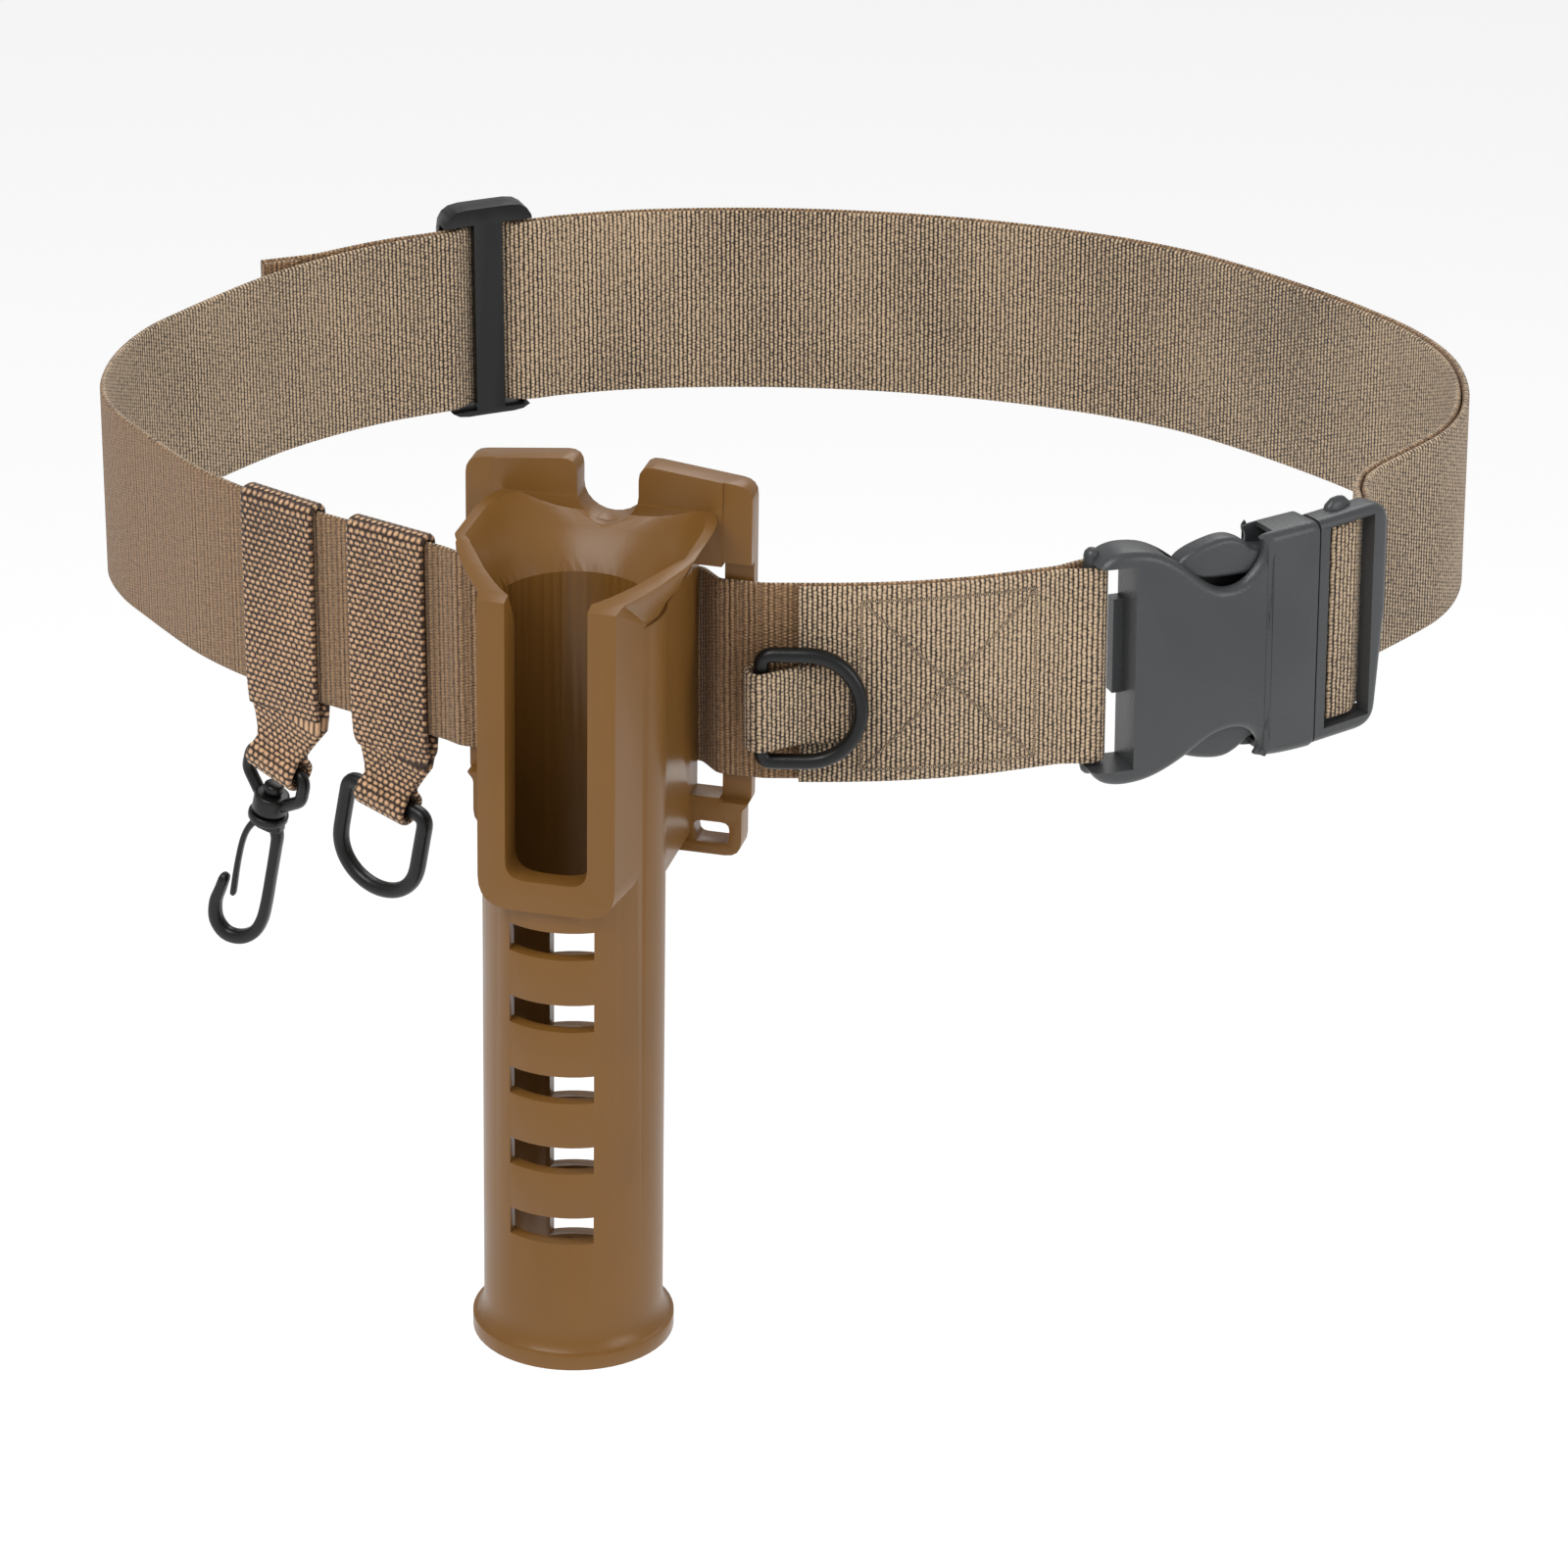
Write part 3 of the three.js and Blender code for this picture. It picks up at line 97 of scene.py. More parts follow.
# Rings, tab, loops and hook
RING_WIRE = 3.6
FRONT_RING = {"width": 27.0, "height": 30.8, "at": -7.6, "z": -4.0, "lift": 3.4}
TAB = {"width": 20.0, "thick": 1.4, "end": 13.0, "z": -4.0}
LOOP = {"width": 22.5, "thick": 1.5, "ease": 0.5, "tack": -39.0, "eye": -45.2, "eye_radius": 2.9,
        "eye_width": 12.4}
HOOK_LOOP = {"at": -138.5, "swing": 15.0, "from": -30.0}
RING_LOOP = {"at": -103.7, "swing": 12.0, "from": -32.0}
BAR_RADIUS = 1.9
HANGING_RING = {"width": 27.2, "drop": 29.2}
EYE = {"half_width": 10.4, "drop": 12.0, "wire": 3.2}
COLLAR = {"radius": 4.4, "height": 5.2}
NECK_RADIUS = 5.0
KNOB = {"radius": 2.5, "height": 2.6}
HOOK_THICK = 3.4
HOOK_TURN = np.radians(14)

# How far the strap's middle lies outside the waist line: station and distance
FRONT_PAIR = [
    (SEAM_AT, -1.1), (25, -0.6), (43, -1.0), (55, -1.9),
    (SOCKET_BAR["at"] - 8, SOCKET_BAR["out"] + BUCKLE_LIFT[1] * (SOCKET_BAR["at"] - BUCKLE_LIFT[0])),
]
LEFT_SINGLE = [
    (-356, 2.3), (-345, 2.4), (-320, 2.0), (-300, 1.4), (-285, 2.0), (-271, 3.7), (-250, 4.3),
    (-229, 3.2), (-214, 0), (-201, -3.6), (-188, -5.8), (-170, -7.2), (-154, -8.4), (-135, -9.6),
    (-115, -9.9), (-100, -8.8), (-88, -7.2),
]
TAIL = [(-356, 4.9), (-349, 5.4), (-341, 5.7), (-334, 6.2), (-328, 8.2), (-321, 11.4)]
HEM_LENGTH = 9.0
STITCH_BOX = {"left": 15.5, "right": 57.0, "half_height": 21.5}

# Camera fitted to the photo, in metres and in the photo's own pixels
CAMERA_ELEVATION = np.radians(25)
CAMERA_DISTANCE = 1.813
CAMERA_AIM = (-0.0024, -0.0838)
FOCAL_PIXELS, PHOTO_PIXELS = 7285, 1600
SENSOR_WIDTH = 36

# The socket's face: share of its length, and heights of its upper and lower edges
SOCKET_FACE = np.array([
    (0, 22, -24), (0.05, 27.5, -28.8), (0.13, 29.6, -30.4), (0.24, 29.2, -30), (0.33, 27, -28.2),
    (0.42, 23, -25.4), (0.49, 19, -22.6), (0.56, 16.4, -20.6), (0.64, 16.6, -20.2), (0.7, 19, -21.4),
    (0.745, 22.6, -24), (0.75, 25.8, -26.6), (0.72, 27.9, -28.9), (0.85, 28.4, -30), (1.1, 28.2, -30.2),
])

# A prong of the plug: station, and heights of its lower and upper edges
PRONG = np.array([
    (90.5, 21, 23.4), (93, 19.5, 25.8), (98, 18.6, 27.6), (104, 18.2, 28.6), (108.5, 18, 26.6),
    (111, 17.8, 23.8), (129, 17.6, 23.4),
])

# Middle line and width of the hook and of its gate below the neck: x, z, width
HOOK_LINE = np.array([
    (-0.8, -2.2, 3.0), (2.0, -3.0, 3.4), (3.4, -5.6, 3.0), (3.7, -9.0, 2.8), (4.0, -18.0, 2.7),
    (4.2, -26.0, 2.8), (3.9, -31.5, 3.0), (2.4, -35.8, 3.3), (-0.9, -38.8, 3.7), (-4.8, -39.4, 3.9),
    (-8.0, -36.8, 3.6), (-9.1, -32.0, 3.1), (-8.5, -27.5, 2.8), (-8.1, -24.4, 2.6),
])
GATE_LINE = np.array([
    (-0.8, -2.6, 2.2), (-3.2, -4.6, 1.9), (-5.0, -9.4, 1.5), (-5.4, -17.0, 1.4), (-5.0, -27.0, 1.5),
])
CROWN = [(-4, -1), (3.9, -1), (4.6, -4.2), (1.6, -5), (-1.4, -5), (-3.6, -4.4)]


def colour(name, description, default):
    return FloatVectorProperty(name=name, description=description, subtype="COLOR", size=3,
                               default=default, min=0, max=1)


def amount(name, description, default, low, high, unit="NONE"):
    return FloatProperty(name=name, description=description, default=default, min=low, max=high,
                         unit=unit)


class BeltSizes(PropertyGroup):
    """Sizes of the weave, edges and stitches"""

    rib_pitch: amount("Rib Pitch", "Distance between the strap's upright ribs in millimetres", 1.15, 0.4, 4)
    loop_pitch: amount("Loop Weave Pitch", "Distance between the loops' yarns in millimetres", 1.5, 0.4, 4)
    edge_round: amount(
        "Holder Edge Rounding", "Rounding of the holder's edges", 0.0007, 0, 0.003, unit="LENGTH")
    buckle_round: amount(
        "Buckle Edge Rounding", "Rounding of the buckle's edges", 0.0009, 0, 0.003, unit="LENGTH")
    stitch: amount("Stitch Length", "Length of one stitch in millimetres", 2.6, 1, 6)


class BeltColours(PropertyGroup):
    """Colours of the cloth and plastic; the cloth's groove colours are painted shade"""

    strap_light: colour("Strap Rib", "Lit yarns of the waist strap", (0.62, 0.45, 0.285))
    # Groove colours are near-black painted shade, standing in for the shade between the woven ribs
    strap_groove_shade: colour("Strap Groove", "Grooves between the strap's ribs", (0.02, 0.011, 0.006))
    inner_light: colour("Strap Inside Yarn", "Lit yarns of the strap's inner face", (0.42, 0.245, 0.12))
    # Painted shade in the grooves of the strap's inner face
    inner_groove_shade: colour("Strap Inside Groove", "Grooves of the strap's inner face", (0.09, 0.045, 0.018))
    loop_light: colour("Loop Yarn", "Lit yarns of the narrow loops", (0.68, 0.41, 0.225))
    # Painted shade in the grooves of the narrow loops
    loop_groove_shade: colour("Loop Groove", "Grooves of the narrow loops", (0.035, 0.016, 0.009))
    tan: colour("Holder", "Moulded plastic of the rod holder", (0.18, 0.082, 0.017))
    buckle: colour("Buckle", "Satin plastic of the buckle", (0.04, 0.042, 0.044))
    fittings: colour("Fittings", "Darker plastic of the rings, hook and tri-glide", (0.004, 0.0045, 0.0045))


class BeltStage(PropertyGroup):
    """Floor, lights and camera"""

    floor_drop: amount(
        "Floor Drop", "How far the floor lies below the waist line", 0.95, 0.2, 2, unit="LENGTH")
    key_power: amount("Key Light", "Power of the large upper light", 22, 0, 500)
    fill_power: amount("Fill Light", "Power of the side light", 8, 0, 500)
    sky: amount("Room Light", "Strength of the even light all round", 0.6, 0, 5)


# Lines in plan

def waist_table():
    """Arc length along the ellipse against its angle, from the front middle towards +X."""
    angle = np.linspace(-np.pi / 2, 1.5 * np.pi, 7201)
    line = np.c_[WAIST_HALF_WIDTH * np.cos(angle), WAIST_HALF_DEPTH * np.sin(angle)]
    length = np.r_[0, np.cumsum(np.linalg.norm(np.diff(line, axis=0), axis=1))]
    return length, angle


WAIST_S, WAIST_ANGLE = waist_table()
WAIST_LENGTH = WAIST_S[-1]


def waist_normal(station):
    """Point and outward normal of the ellipse at each station."""
    angle = np.interp(np.mod(station, WAIST_LENGTH), WAIST_S, WAIST_ANGLE)
    at = np.stack([WAIST_HALF_WIDTH * np.cos(angle), WAIST_HALF_DEPTH * np.sin(angle)], -1)
    normal = np.stack([np.cos(angle) / WAIST_HALF_WIDTH, np.sin(angle) / WAIST_HALF_DEPTH], -1)
    return at, normal / np.linalg.norm(normal, axis=-1, keepdims=True)


def waist_turn(station):
    normal = waist_normal(station)[1]
    return np.arctan2(normal[..., 0], -normal[..., 1])


def on_waist(station, out):
    """The ellipse's point moved out along its normal."""
    at, normal = waist_normal(station)
    return at + normal * np.asarray(out, float)[..., None]


def on_buckle(station, out):
    return on_waist(station, out + BUCKLE_LIFT[1] * (station - BUCKLE_LIFT[0]))


def sampled(rows, s):
    """Cubic Hermite between the rows, with slopes taken over the rows on either side."""
    knots, outs = np.array(rows, float).T
    s = np.asarray(s, float)
    i = np.clip(np.searchsorted(knots, s, side="left") - 1, 0, len(knots) - 2)
    before, after = np.maximum(i - 1, 0), np.minimum(i + 2, len(knots) - 1)
    span = knots[i + 1] - knots[i]
    t = np.clip((s - knots[i]) / span, 0, 1)
    slope_0 = (outs[i + 1] - outs[before]) / (knots[i + 1] - knots[before]) * span
    slope_1 = (outs[after] - outs[i]) / (knots[after] - knots[i]) * span
    return (outs[i] * (2 * t**3 - 3 * t**2 + 1) + slope_0 * (t**3 - 2 * t**2 + t)
            + outs[i + 1] * (3 * t**2 - 2 * t**3) + slope_1 * (t**3 - t**2))


def route(rows):
    count = max(2, int(np.ceil((rows[-1][0] - rows[0][0]) / ROUTE_STEP)))
    s = np.linspace(rows[0][0], rows[-1][0], count + 1)
    return on_waist(s, sampled(rows, s))


def directions(path, closed=False):
    """Unit direction at each point, from the point before it to the point after it."""
    if closed:
        along = np.roll(path, -1, 0) - np.roll(path, 1, 0)
    else:
        ends = np.r_[path[:1], path, path[-1:]]
        along = ends[2:] - ends[:-2]
    return along / np.linalg.norm(along, axis=1, keepdims=True)


def shifted(path, distance):
    """Each point moved to the right of the line through its neighbours."""
    along = directions(path)
    return path + np.c_[along[:, 1], -along[:, 0]] * distance


def turn_around(centre, radius, start, end, steps=14):
    angle = np.linspace(start, end, steps + 1)
    return centre + radius * np.c_[np.cos(angle), np.sin(angle)]


def rounded(points, radius, steps=6):
    """Inner corners become quadratic curves that start a set reach from the corner."""
    points = np.array(points, float)
    path = [points[:1]]
    t = np.linspace(0, 1, steps + 1)[:, None]
    for i in range(1, len(points) - 1):
        back, ahead = points[i - 1] - points[i], points[i + 1] - points[i]
        size_b, size_a = np.linalg.norm(back), np.linalg.norm(ahead)
        half = np.arccos(np.clip(back @ ahead / size_b / size_a, -1, 1)) / 2
        reach = min(radius / np.tan(half), size_b * 0.48, size_a * 0.48)
        start, end = points[i] + back / size_b * reach, points[i] + ahead / size_a * reach
        path.append((1 - t) ** 2 * start + 2 * t * (1 - t) * points[i] + t**2 * end)
    path.append(points[-1:])
    return np.concatenate(path)


def even(path, step, closed=False):
    """The same line with points at an even distance, and its corners eased once."""
    if closed:
        path = np.r_[path, path[:1]]
    path = path[np.r_[True, np.linalg.norm(np.diff(path, axis=0), axis=1) > 0.02]]
    length = np.r_[0, np.cumsum(np.linalg.norm(np.diff(path, axis=0), axis=1))]
    s = np.linspace(0, length[-1], int(length[-1] / step) + 1)
    line = np.stack([np.interp(s, length, axis) for axis in path.T], 1)
    if closed:
        line = line[:-1]
        return line / 2 + (np.roll(line, 1, 0) + np.roll(line, -1, 0)) / 4
    line[1:-1] = line[1:-1] / 2 + (line[:-2] + line[2:]) / 4
    return line


def from_holder(w, forward):
    c, s = np.cos(HOLDER_TURN), np.sin(HOLDER_TURN)
    return [HOLDER_AT[0] + w * c + forward * s, HOLDER_AT[1] + w * s - forward * c]


def pair_rows():
    """Stations and distances of the doubled strap from the plug to past the tri-glide."""
    lift = BUCKLE_LIFT[1] * (PLUG_END_BAR["start"] - BUCKLE_LIFT[0])
    half = (PAIR_STEP + WEB_THICK) / 2
    plug_out = PLUG_END_BAR["inner"] - CLEAR - half + lift
    inside = GLIDE_OUT["side"] - half - 0.9
    over = GLIDE_OUT["middle"] + GLIDE["bar"] + half + CLEAR * 2
    start, side, slot = GLIDE["start"], GLIDE["side"], GLIDE["slot"]
    end = start + 2 * side + 2 * slot + GLIDE["middle"]
    last_slot = end - side - slot
    plug = [(PLUG_END_BAR["start"] - 0.5, plug_out - 0.3), (PLUG_END_BAR["start"] + 3, plug_out - 1.2),
            (151, -1.6), (156, -6.2), (163, -9.8)]
    right = [plug[-1], (171, -10.4), (179, -9.4), (188, -7.6), (198, -5.2), (209, -3.4), (222, -2.5),
             (250, -2.0), (272, -3.8), (289, -5.9), (310, -7.1), (330, -6.6), (355, -4.6), (395, -3.6),
             (422, -2.6), (454, -0.9), (485, 1.1), (506, 2.6), (WAIST_LENGTH + start - 6, 3.0)]
    glide = [right[-1]] + [(WAIST_LENGTH + s, out) for s, out in (
        (start + side * 0.5, inside), (start + side + slot / 2, (inside + over) / 2),
        (start + side + slot, over), (last_slot, over), (last_slot + slot / 2, (inside + over) / 2),
        (end - side * 0.5, inside), (end + 3, inside))]
    return plug, right, glide


def strap_path():
    """The strap's middle line in plan, from its sewn end to its free end."""
    front = route(FRONT_PAIR)
    plug, right, glide = pair_rows()
    pair = np.r_[route(plug)[:-1], route(right)[:-1], route(glide)]
    radius = SOCKET_BAR["radius"] + CLEAR + WEB_THICK / 2
    turn = waist_turn(SOCKET_BAR["at"])
    socket = turn_around(on_buckle(SOCKET_BAR["at"], SOCKET_BAR["out"]), radius,
                         turn - np.pi / 2 - PAST_BAR["socket"], turn + np.pi / 2 + PAST_BAR["socket"])
    radius = PLUG_BAR["radius"] + CLEAR + WEB_THICK / 2
    left_turn, right_turn = waist_turn(PLUG_BAR["left"]), waist_turn(PLUG_BAR["right"])
    bar_left = on_buckle(PLUG_BAR["left"], PLUG_BAR["out"])
    bar_right = on_buckle(PLUG_BAR["right"], PLUG_BAR["out"])
    around_plug = np.r_[
        turn_around(bar_right, radius, right_turn + np.pi / 2 - PAST_BAR["plug_inside"],
                    right_turn + np.pi / 2, 3),
        turn_around(bar_left, radius, left_turn + np.pi / 2, left_turn + np.pi * 1.5),
        turn_around(bar_right, radius, right_turn + np.pi * 1.5,
                    right_turn + np.pi * 1.5 + PAST_BAR["plug_outside"], 4)]
    face = MARGIN_FACE + CLEAR + WEB_THICK / 2
    back = -PLATE_THICK - CLEAR - WEB_THICK / 2
    plate = rounded([
        from_holder(PLATE_HALF + 3, face), from_holder(SLOT_OUTER - 0.9, face),
        from_holder(SLOT_INNER + 0.9, back), from_holder(-SLOT_INNER - 0.9, back),
        from_holder(-SLOT_OUTER + 0.9, face), from_holder(-PLATE_HALF - 2, face)], BEND_RADIUS)
    return np.r_[
        shifted(front, PAIR_STEP / 2), socket, shifted(front, -PAIR_STEP / 2)[::-1][:-1], plate,
        route(LEFT_SINGLE)[::-1][:-1], shifted(pair, -PAIR_STEP / 2)[::-1], around_plug,
        shifted(pair, PAIR_STEP / 2), route(TAIL)]


# Surfaces: each is (points, faces, uv, inner)

def tube_faces(rows, cols, closed=False):
    """Quads between neighbouring rows of a tube, and a cap on each end unless its rows close."""
    i = np.arange(rows if closed else rows - 1)[:, None]
    j = np.arange(cols)[None, :]
    a, b = i * cols + j, i * cols + (j + 1) % cols
    up = (i + 1) % rows
    c, d = up * cols + (j + 1) % cols, up * cols + j
    faces = np.stack(np.broadcast_arrays(a, b, c, d), -1).reshape(-1, 4).tolist()
    if not closed:
        faces += [list(range(cols))[::-1], list(range((rows - 1) * cols, rows * cols))]
    return faces


def web_profile(columns=12, corner=4):
    """Round the section of webbing: a flat coordinate, and cosine and sine for its rounding."""
    flat = np.linspace(-1, 1, columns + 1)
    arc = np.linspace(np.pi / 2, -np.pi / 2, corner + 1)[1:-1]
    f = np.r_[flat, np.ones(len(arc)), flat[::-1], -np.ones(len(arc))]
    across = np.r_[0 * flat, np.cos(arc), 0 * flat, -np.cos(arc)]
    up = np.r_[0 * flat + 1, np.sin(arc), 0 * flat - 1, np.sin(arc[::-1])]
    return f, across, up


def webbing(centre, across, face, half_width, thick, closed=False):
    """Point = centre + across * (f * (w - r) + r * cos) + face * r * sin, with r half the thickness."""
    f, cosine, sine = web_profile()
    r = thick / 2
    half = np.broadcast_to(np.asarray(half_width, float), (len(centre),))[:, None]
    w = f * (half - r) + r * cosine
    points = centre[:, None] + across[:, None] * w[..., None] + face[:, None] * (r * sine)[None, :, None]
    step = np.linalg.norm(np.diff(centre, axis=0), axis=1)
    length = np.r_[0, np.cumsum(step)]
    uv = np.stack([np.broadcast_to(length[:, None], w.shape), w], -1)
    inner = np.broadcast_to((sine < 0).astype(float), w.shape)
    rows, cols = w.shape
    return points.reshape(-1, 3), tube_faces(rows, cols, closed), uv.reshape(-1, 2), inner.reshape(-1)


def plan_band(path, z, width, thick):
    """Webbing on edge along a line in plan, its outer face to the line's right."""
    along = directions(path)
    face = np.c_[along[:, 1], -along[:, 0], 0 * along[:, 0]]
    across = np.tile([0.0, 0.0, 1.0], (len(path), 1))
    return webbing(np.c_[path, np.full(len(path), z)], across, face, width / 2, thick)


def swept(path, side, half_side, half_up, closed=False, sides=16, power=2.0):
    """Point = path + side * a * cos^(2/p) + up * b * sin^(2/p), where up is the line's direction
    crossed with side. Open ends are drawn in as a quarter circle."""
    path = np.asarray(path, float)
    n = len(path)
    a = np.broadcast_to(np.asarray(half_side, float), (n,)).copy()
    b = np.broadcast_to(np.asarray(half_up, float), (n,)).copy()
    along = directions(path, closed)
    side = np.broadcast_to(np.asarray(side, float), path.shape)
    if not closed:
        phi = np.radians([86, 60, 30])
        cap = np.c_[np.sin(phi)]
        side = np.r_[side[:1].repeat(3, 0), side, side[-1:].repeat(3, 0)]
        path = np.r_[path[0] - along[0] * a[0] * cap, path, path[-1] + along[-1] * a[-1] * cap[::-1]]
        along = np.r_[along[:1].repeat(3, 0), along, along[-1:].repeat(3, 0)]
        a, b = (np.r_[v[0] * np.cos(phi), v, v[-1] * np.cos(phi[::-1])] for v in (a, b))
    up = np.cross(along, side)
    up /= np.linalg.norm(up, axis=1, keepdims=True)
    t = np.linspace(0, 2 * np.pi, sides, endpoint=False)
    c = np.sign(np.cos(t)) * np.abs(np.cos(t)) ** (2 / power)
    s = np.sign(np.sin(t)) * np.abs(np.sin(t)) ** (2 / power)
    points = path[:, None] + side[:, None] * (a[:, None] * c)[..., None] \
        + up[:, None] * (b[:, None] * s)[..., None]
    rows = len(path)
    length = np.r_[0, np.cumsum(np.linalg.norm(np.diff(path, axis=0), axis=1))]
    uv = np.stack(np.broadcast_arrays(length[:, None], t[None] * a[:, None]), -1)
    return points.reshape(-1, 3), tube_faces(rows, sides, closed), uv.reshape(-1, 2), np.zeros(rows * sides)


def turned(rows, sides=28):
    """Profile of radius and height carried round the z axis, closed by its end rows."""
    r, z = np.array(rows, float).T
    t = np.linspace(0, 2 * np.pi, sides, endpoint=False)
    points = np.stack([r[:, None] * np.cos(t), r[:, None] * np.sin(t), np.tile(z[:, None], sides)], -1)
    uv = np.stack(np.broadcast_arrays(t[None] * r.max(), z[:, None]), -1)
    return points.reshape(-1, 3), tube_faces(len(r), sides), uv.reshape(-1, 2), np.zeros(len(r) * sides)


def slab(outline, half_thick, rounding, steps=4):
    """An outline in x and z pushed along y: rows draw in by r * (1 - sin) towards each face."""
    outline = np.array(outline, float)
    along = directions(outline, closed=True)
    area = np.sum(outline[:, 0] * np.roll(outline[:, 1], -1) - outline[:, 1] * np.roll(outline[:, 0], -1))
    inward = np.c_[-along[:, 1], along[:, 0]] * np.sign(area)
    phi = np.linspace(0, np.pi / 2, steps + 1)
    draw = rounding * (1 - np.sin(phi))
    depth = half_thick - rounding * (1 - np.cos(phi))
    draw, depth = np.r_[draw, draw[::-1]], np.r_[depth, -depth[::-1]]
    flat = outline[None] + inward[None] * draw[:, None, None]
    points = np.stack([flat[..., 0], np.broadcast_to(depth[:, None], flat.shape[:2]), flat[..., 1]], -1)
    rows, cols = flat.shape[:2]
    return points.reshape(-1, 3), tube_faces(rows, cols), flat.reshape(-1, 2), np.zeros(rows * cols)


def eased(outline, rounds=3):
    """Corner cutting: each side keeps its points at one and three quarters."""
    line = np.array(outline, float)
    for _ in range(rounds):
        ahead = np.roll(line, -1, 0)
        line = np.stack([0.75 * line + 0.25 * ahead, 0.25 * line + 0.75 * ahead], 1).reshape(-1, 2)
    return line


def block(x, y, z):
    """A box between two values of each of x, y and z, for cutting."""
    corners = np.array([(i, j, k) for k in z for j in y for i in x], float)
    faces = [[0, 2, 3, 1], [4, 5, 7, 6], [0, 1, 5, 4], [2, 6, 7, 3], [0, 4, 6, 2], [1, 3, 7, 5]]
    return corners, faces, corners[:, ::2], np.zeros(8)


def carved(surface, *cutters):
    """The surface less the cutters, by exact booleans, as a surface again."""
    def temporary(points, faces):
        mesh = bpy.data.meshes.new("work")
        mesh.from_pydata(points.tolist(), [], faces)
        item = bpy.data.objects.new("work", mesh)
        bpy.context.scene.collection.objects.link(item)
        work = bmesh.new()
        work.from_mesh(mesh)
        bmesh.ops.recalc_face_normals(work, faces=work.faces)
        work.to_mesh(mesh)
        work.free()
        return item

    base = temporary(surface[0], surface[1])
    tools = [temporary(points, faces) for points, faces, _, _ in cutters]
    for tool in tools:
        cut = base.modifiers.new("cut", "BOOLEAN")
        cut.operation = "DIFFERENCE"
        cut.solver = "EXACT"
        cut.object = tool
    whole = base.evaluated_get(bpy.context.evaluated_depsgraph_get()).to_mesh()
    points = np.array([v.co for v in whole.vertices], float)
    faces = [list(face.vertices) for face in whole.polygons]
    for item in (base, *tools):
        mesh = item.data
        bpy.data.objects.remove(item)
        bpy.data.meshes.remove(mesh)
    return points, faces, points[:, ::2], np.zeros(len(points))


def on_buckle_line(surface):
    """x is a station and y the distance inwards: both are laid along the buckle's line."""
    points, faces, uv, inner = surface
    plan = on_buckle(points[:, 0], -points[:, 1])
    return np.c_[plan, points[:, 2]], faces, uv, inner


def shifted_along(surface, offset):
    points, faces, uv, inner = surface
    return points + np.asarray(offset, float), faces, uv, inner


def joined(*surfaces):
    """Several surfaces as one, their faces renumbered."""
    start, faces = 0, []
    for points, own, _, _ in surfaces:
        faces += [[v + start for v in face] for face in own]
        start += len(points)
    return (np.concatenate([s[0] for s in surfaces]), faces,
            np.concatenate([s[2] for s in surfaces]), np.concatenate([s[3] for s in surfaces]))


def placed(surface, origin, turn=0.0, swing=0.0):
    """Turned about y by swing, then about z by turn, and moved."""
    about_z = np.array([[np.cos(turn), -np.sin(turn), 0], [np.sin(turn), np.cos(turn), 0], [0, 0, 1]])
    about_y = np.array([[np.cos(swing), 0, np.sin(swing)], [0, 1, 0], [-np.sin(swing), 0, np.cos(swing)]])
    points, faces, uv, inner = surface
    return points @ (about_z @ about_y).T + np.asarray(origin), faces, uv, inner


def made(name, surface, material, body, *nodes, slot):
    """A mesh object from a surface, riding on a body and standing for the nodes."""
    points, faces, uv, inner = surface
    mesh = bpy.data.meshes.new(name)
    mesh.from_pydata((points * MM).tolist(), [], faces)
    corner = np.zeros(len(mesh.loops), np.int32)
    mesh.loops.foreach_get("vertex_index", corner)
    layer = mesh.uv_layers.new(name="Cloth")
    layer.data.foreach_set("uv", uv[corner].astype(np.float32).ravel())
    side = mesh.attributes.new("inner", "FLOAT", "POINT")
    side.data.foreach_set("value", inner.astype(np.float32))
    mesh.validate()
    tidy = bmesh.new()
    tidy.from_mesh(mesh)
    bmesh.ops.recalc_face_normals(tidy, faces=tidy.faces)
    tidy.to_mesh(mesh)
    tidy.free()
    mesh.shade_smooth()
    mesh.materials.append(material)
    piece = bpy.data.objects.new(name, mesh)
    bpy.context.scene.collection.objects.link(piece)
    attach(piece, body)
    if nodes:
        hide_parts(*nodes)
    return piece


def rounded_edges(piece, width, angle, segments):
    bevel = piece.modifiers.new("edge_rounding", "BEVEL")
    bevel.width = width
    bevel.segments = segments
    bevel.limit_method = "ANGLE"
    bevel.angle_limit = np.radians(angle)
    bevel.harden_normals = True
    bevel.use_clamp_overlap = True


def refined(name, node, material, rounding):
    """A node's mesh with its doubles merged, flat faces joined and edges rounded."""
    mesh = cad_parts[node].data.copy()
    mesh.name = name
    work = bmesh.new()
    work.from_mesh(mesh)
    bmesh.ops.remove_doubles(work, verts=work.verts, dist=2e-5)
    bmesh.ops.dissolve_limit(work, angle_limit=np.radians(1.2), verts=work.verts, edges=work.edges)
    work.to_mesh(mesh)
    work.free()
    mesh.shade_smooth()
    mesh.materials.clear()
    mesh.materials.append(material)
    piece = bpy.data.objects.new(name, mesh)
    bpy.context.scene.collection.objects.link(piece)
    rounded_edges(piece, rounding, 28, 3)
    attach(piece, "belt")
    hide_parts(node)


# Materials

def shader(name):
    material = bpy.data.materials.new(name)
    material.use_nodes = True
    tree = material.node_tree
    return material, tree, tree.nodes["Principled BSDF"]


def node(tree, kind, **values):
    """A node with its properties set, and its inputs where the key names one."""
    made_node = tree.nodes.new(kind)
    for key, value in values.items():
        if hasattr(made_node, key):
            setattr(made_node, key, value)
        else:
            made_node.inputs[key.replace("_", " ").title()].default_value = value
    return made_node


def maths(tree, operation, a, b=None, clamp=False):
    step = tree.nodes.new("ShaderNodeMath")
    step.operation = operation
    step.use_clamp = clamp
    for socket, value in zip(step.inputs, (a, b)):
        if value is None:
            continue
        if isinstance(value, (int, float)):
            socket.default_value = value
        else:
            tree.links.new(value, socket)
    return step.outputs[0]


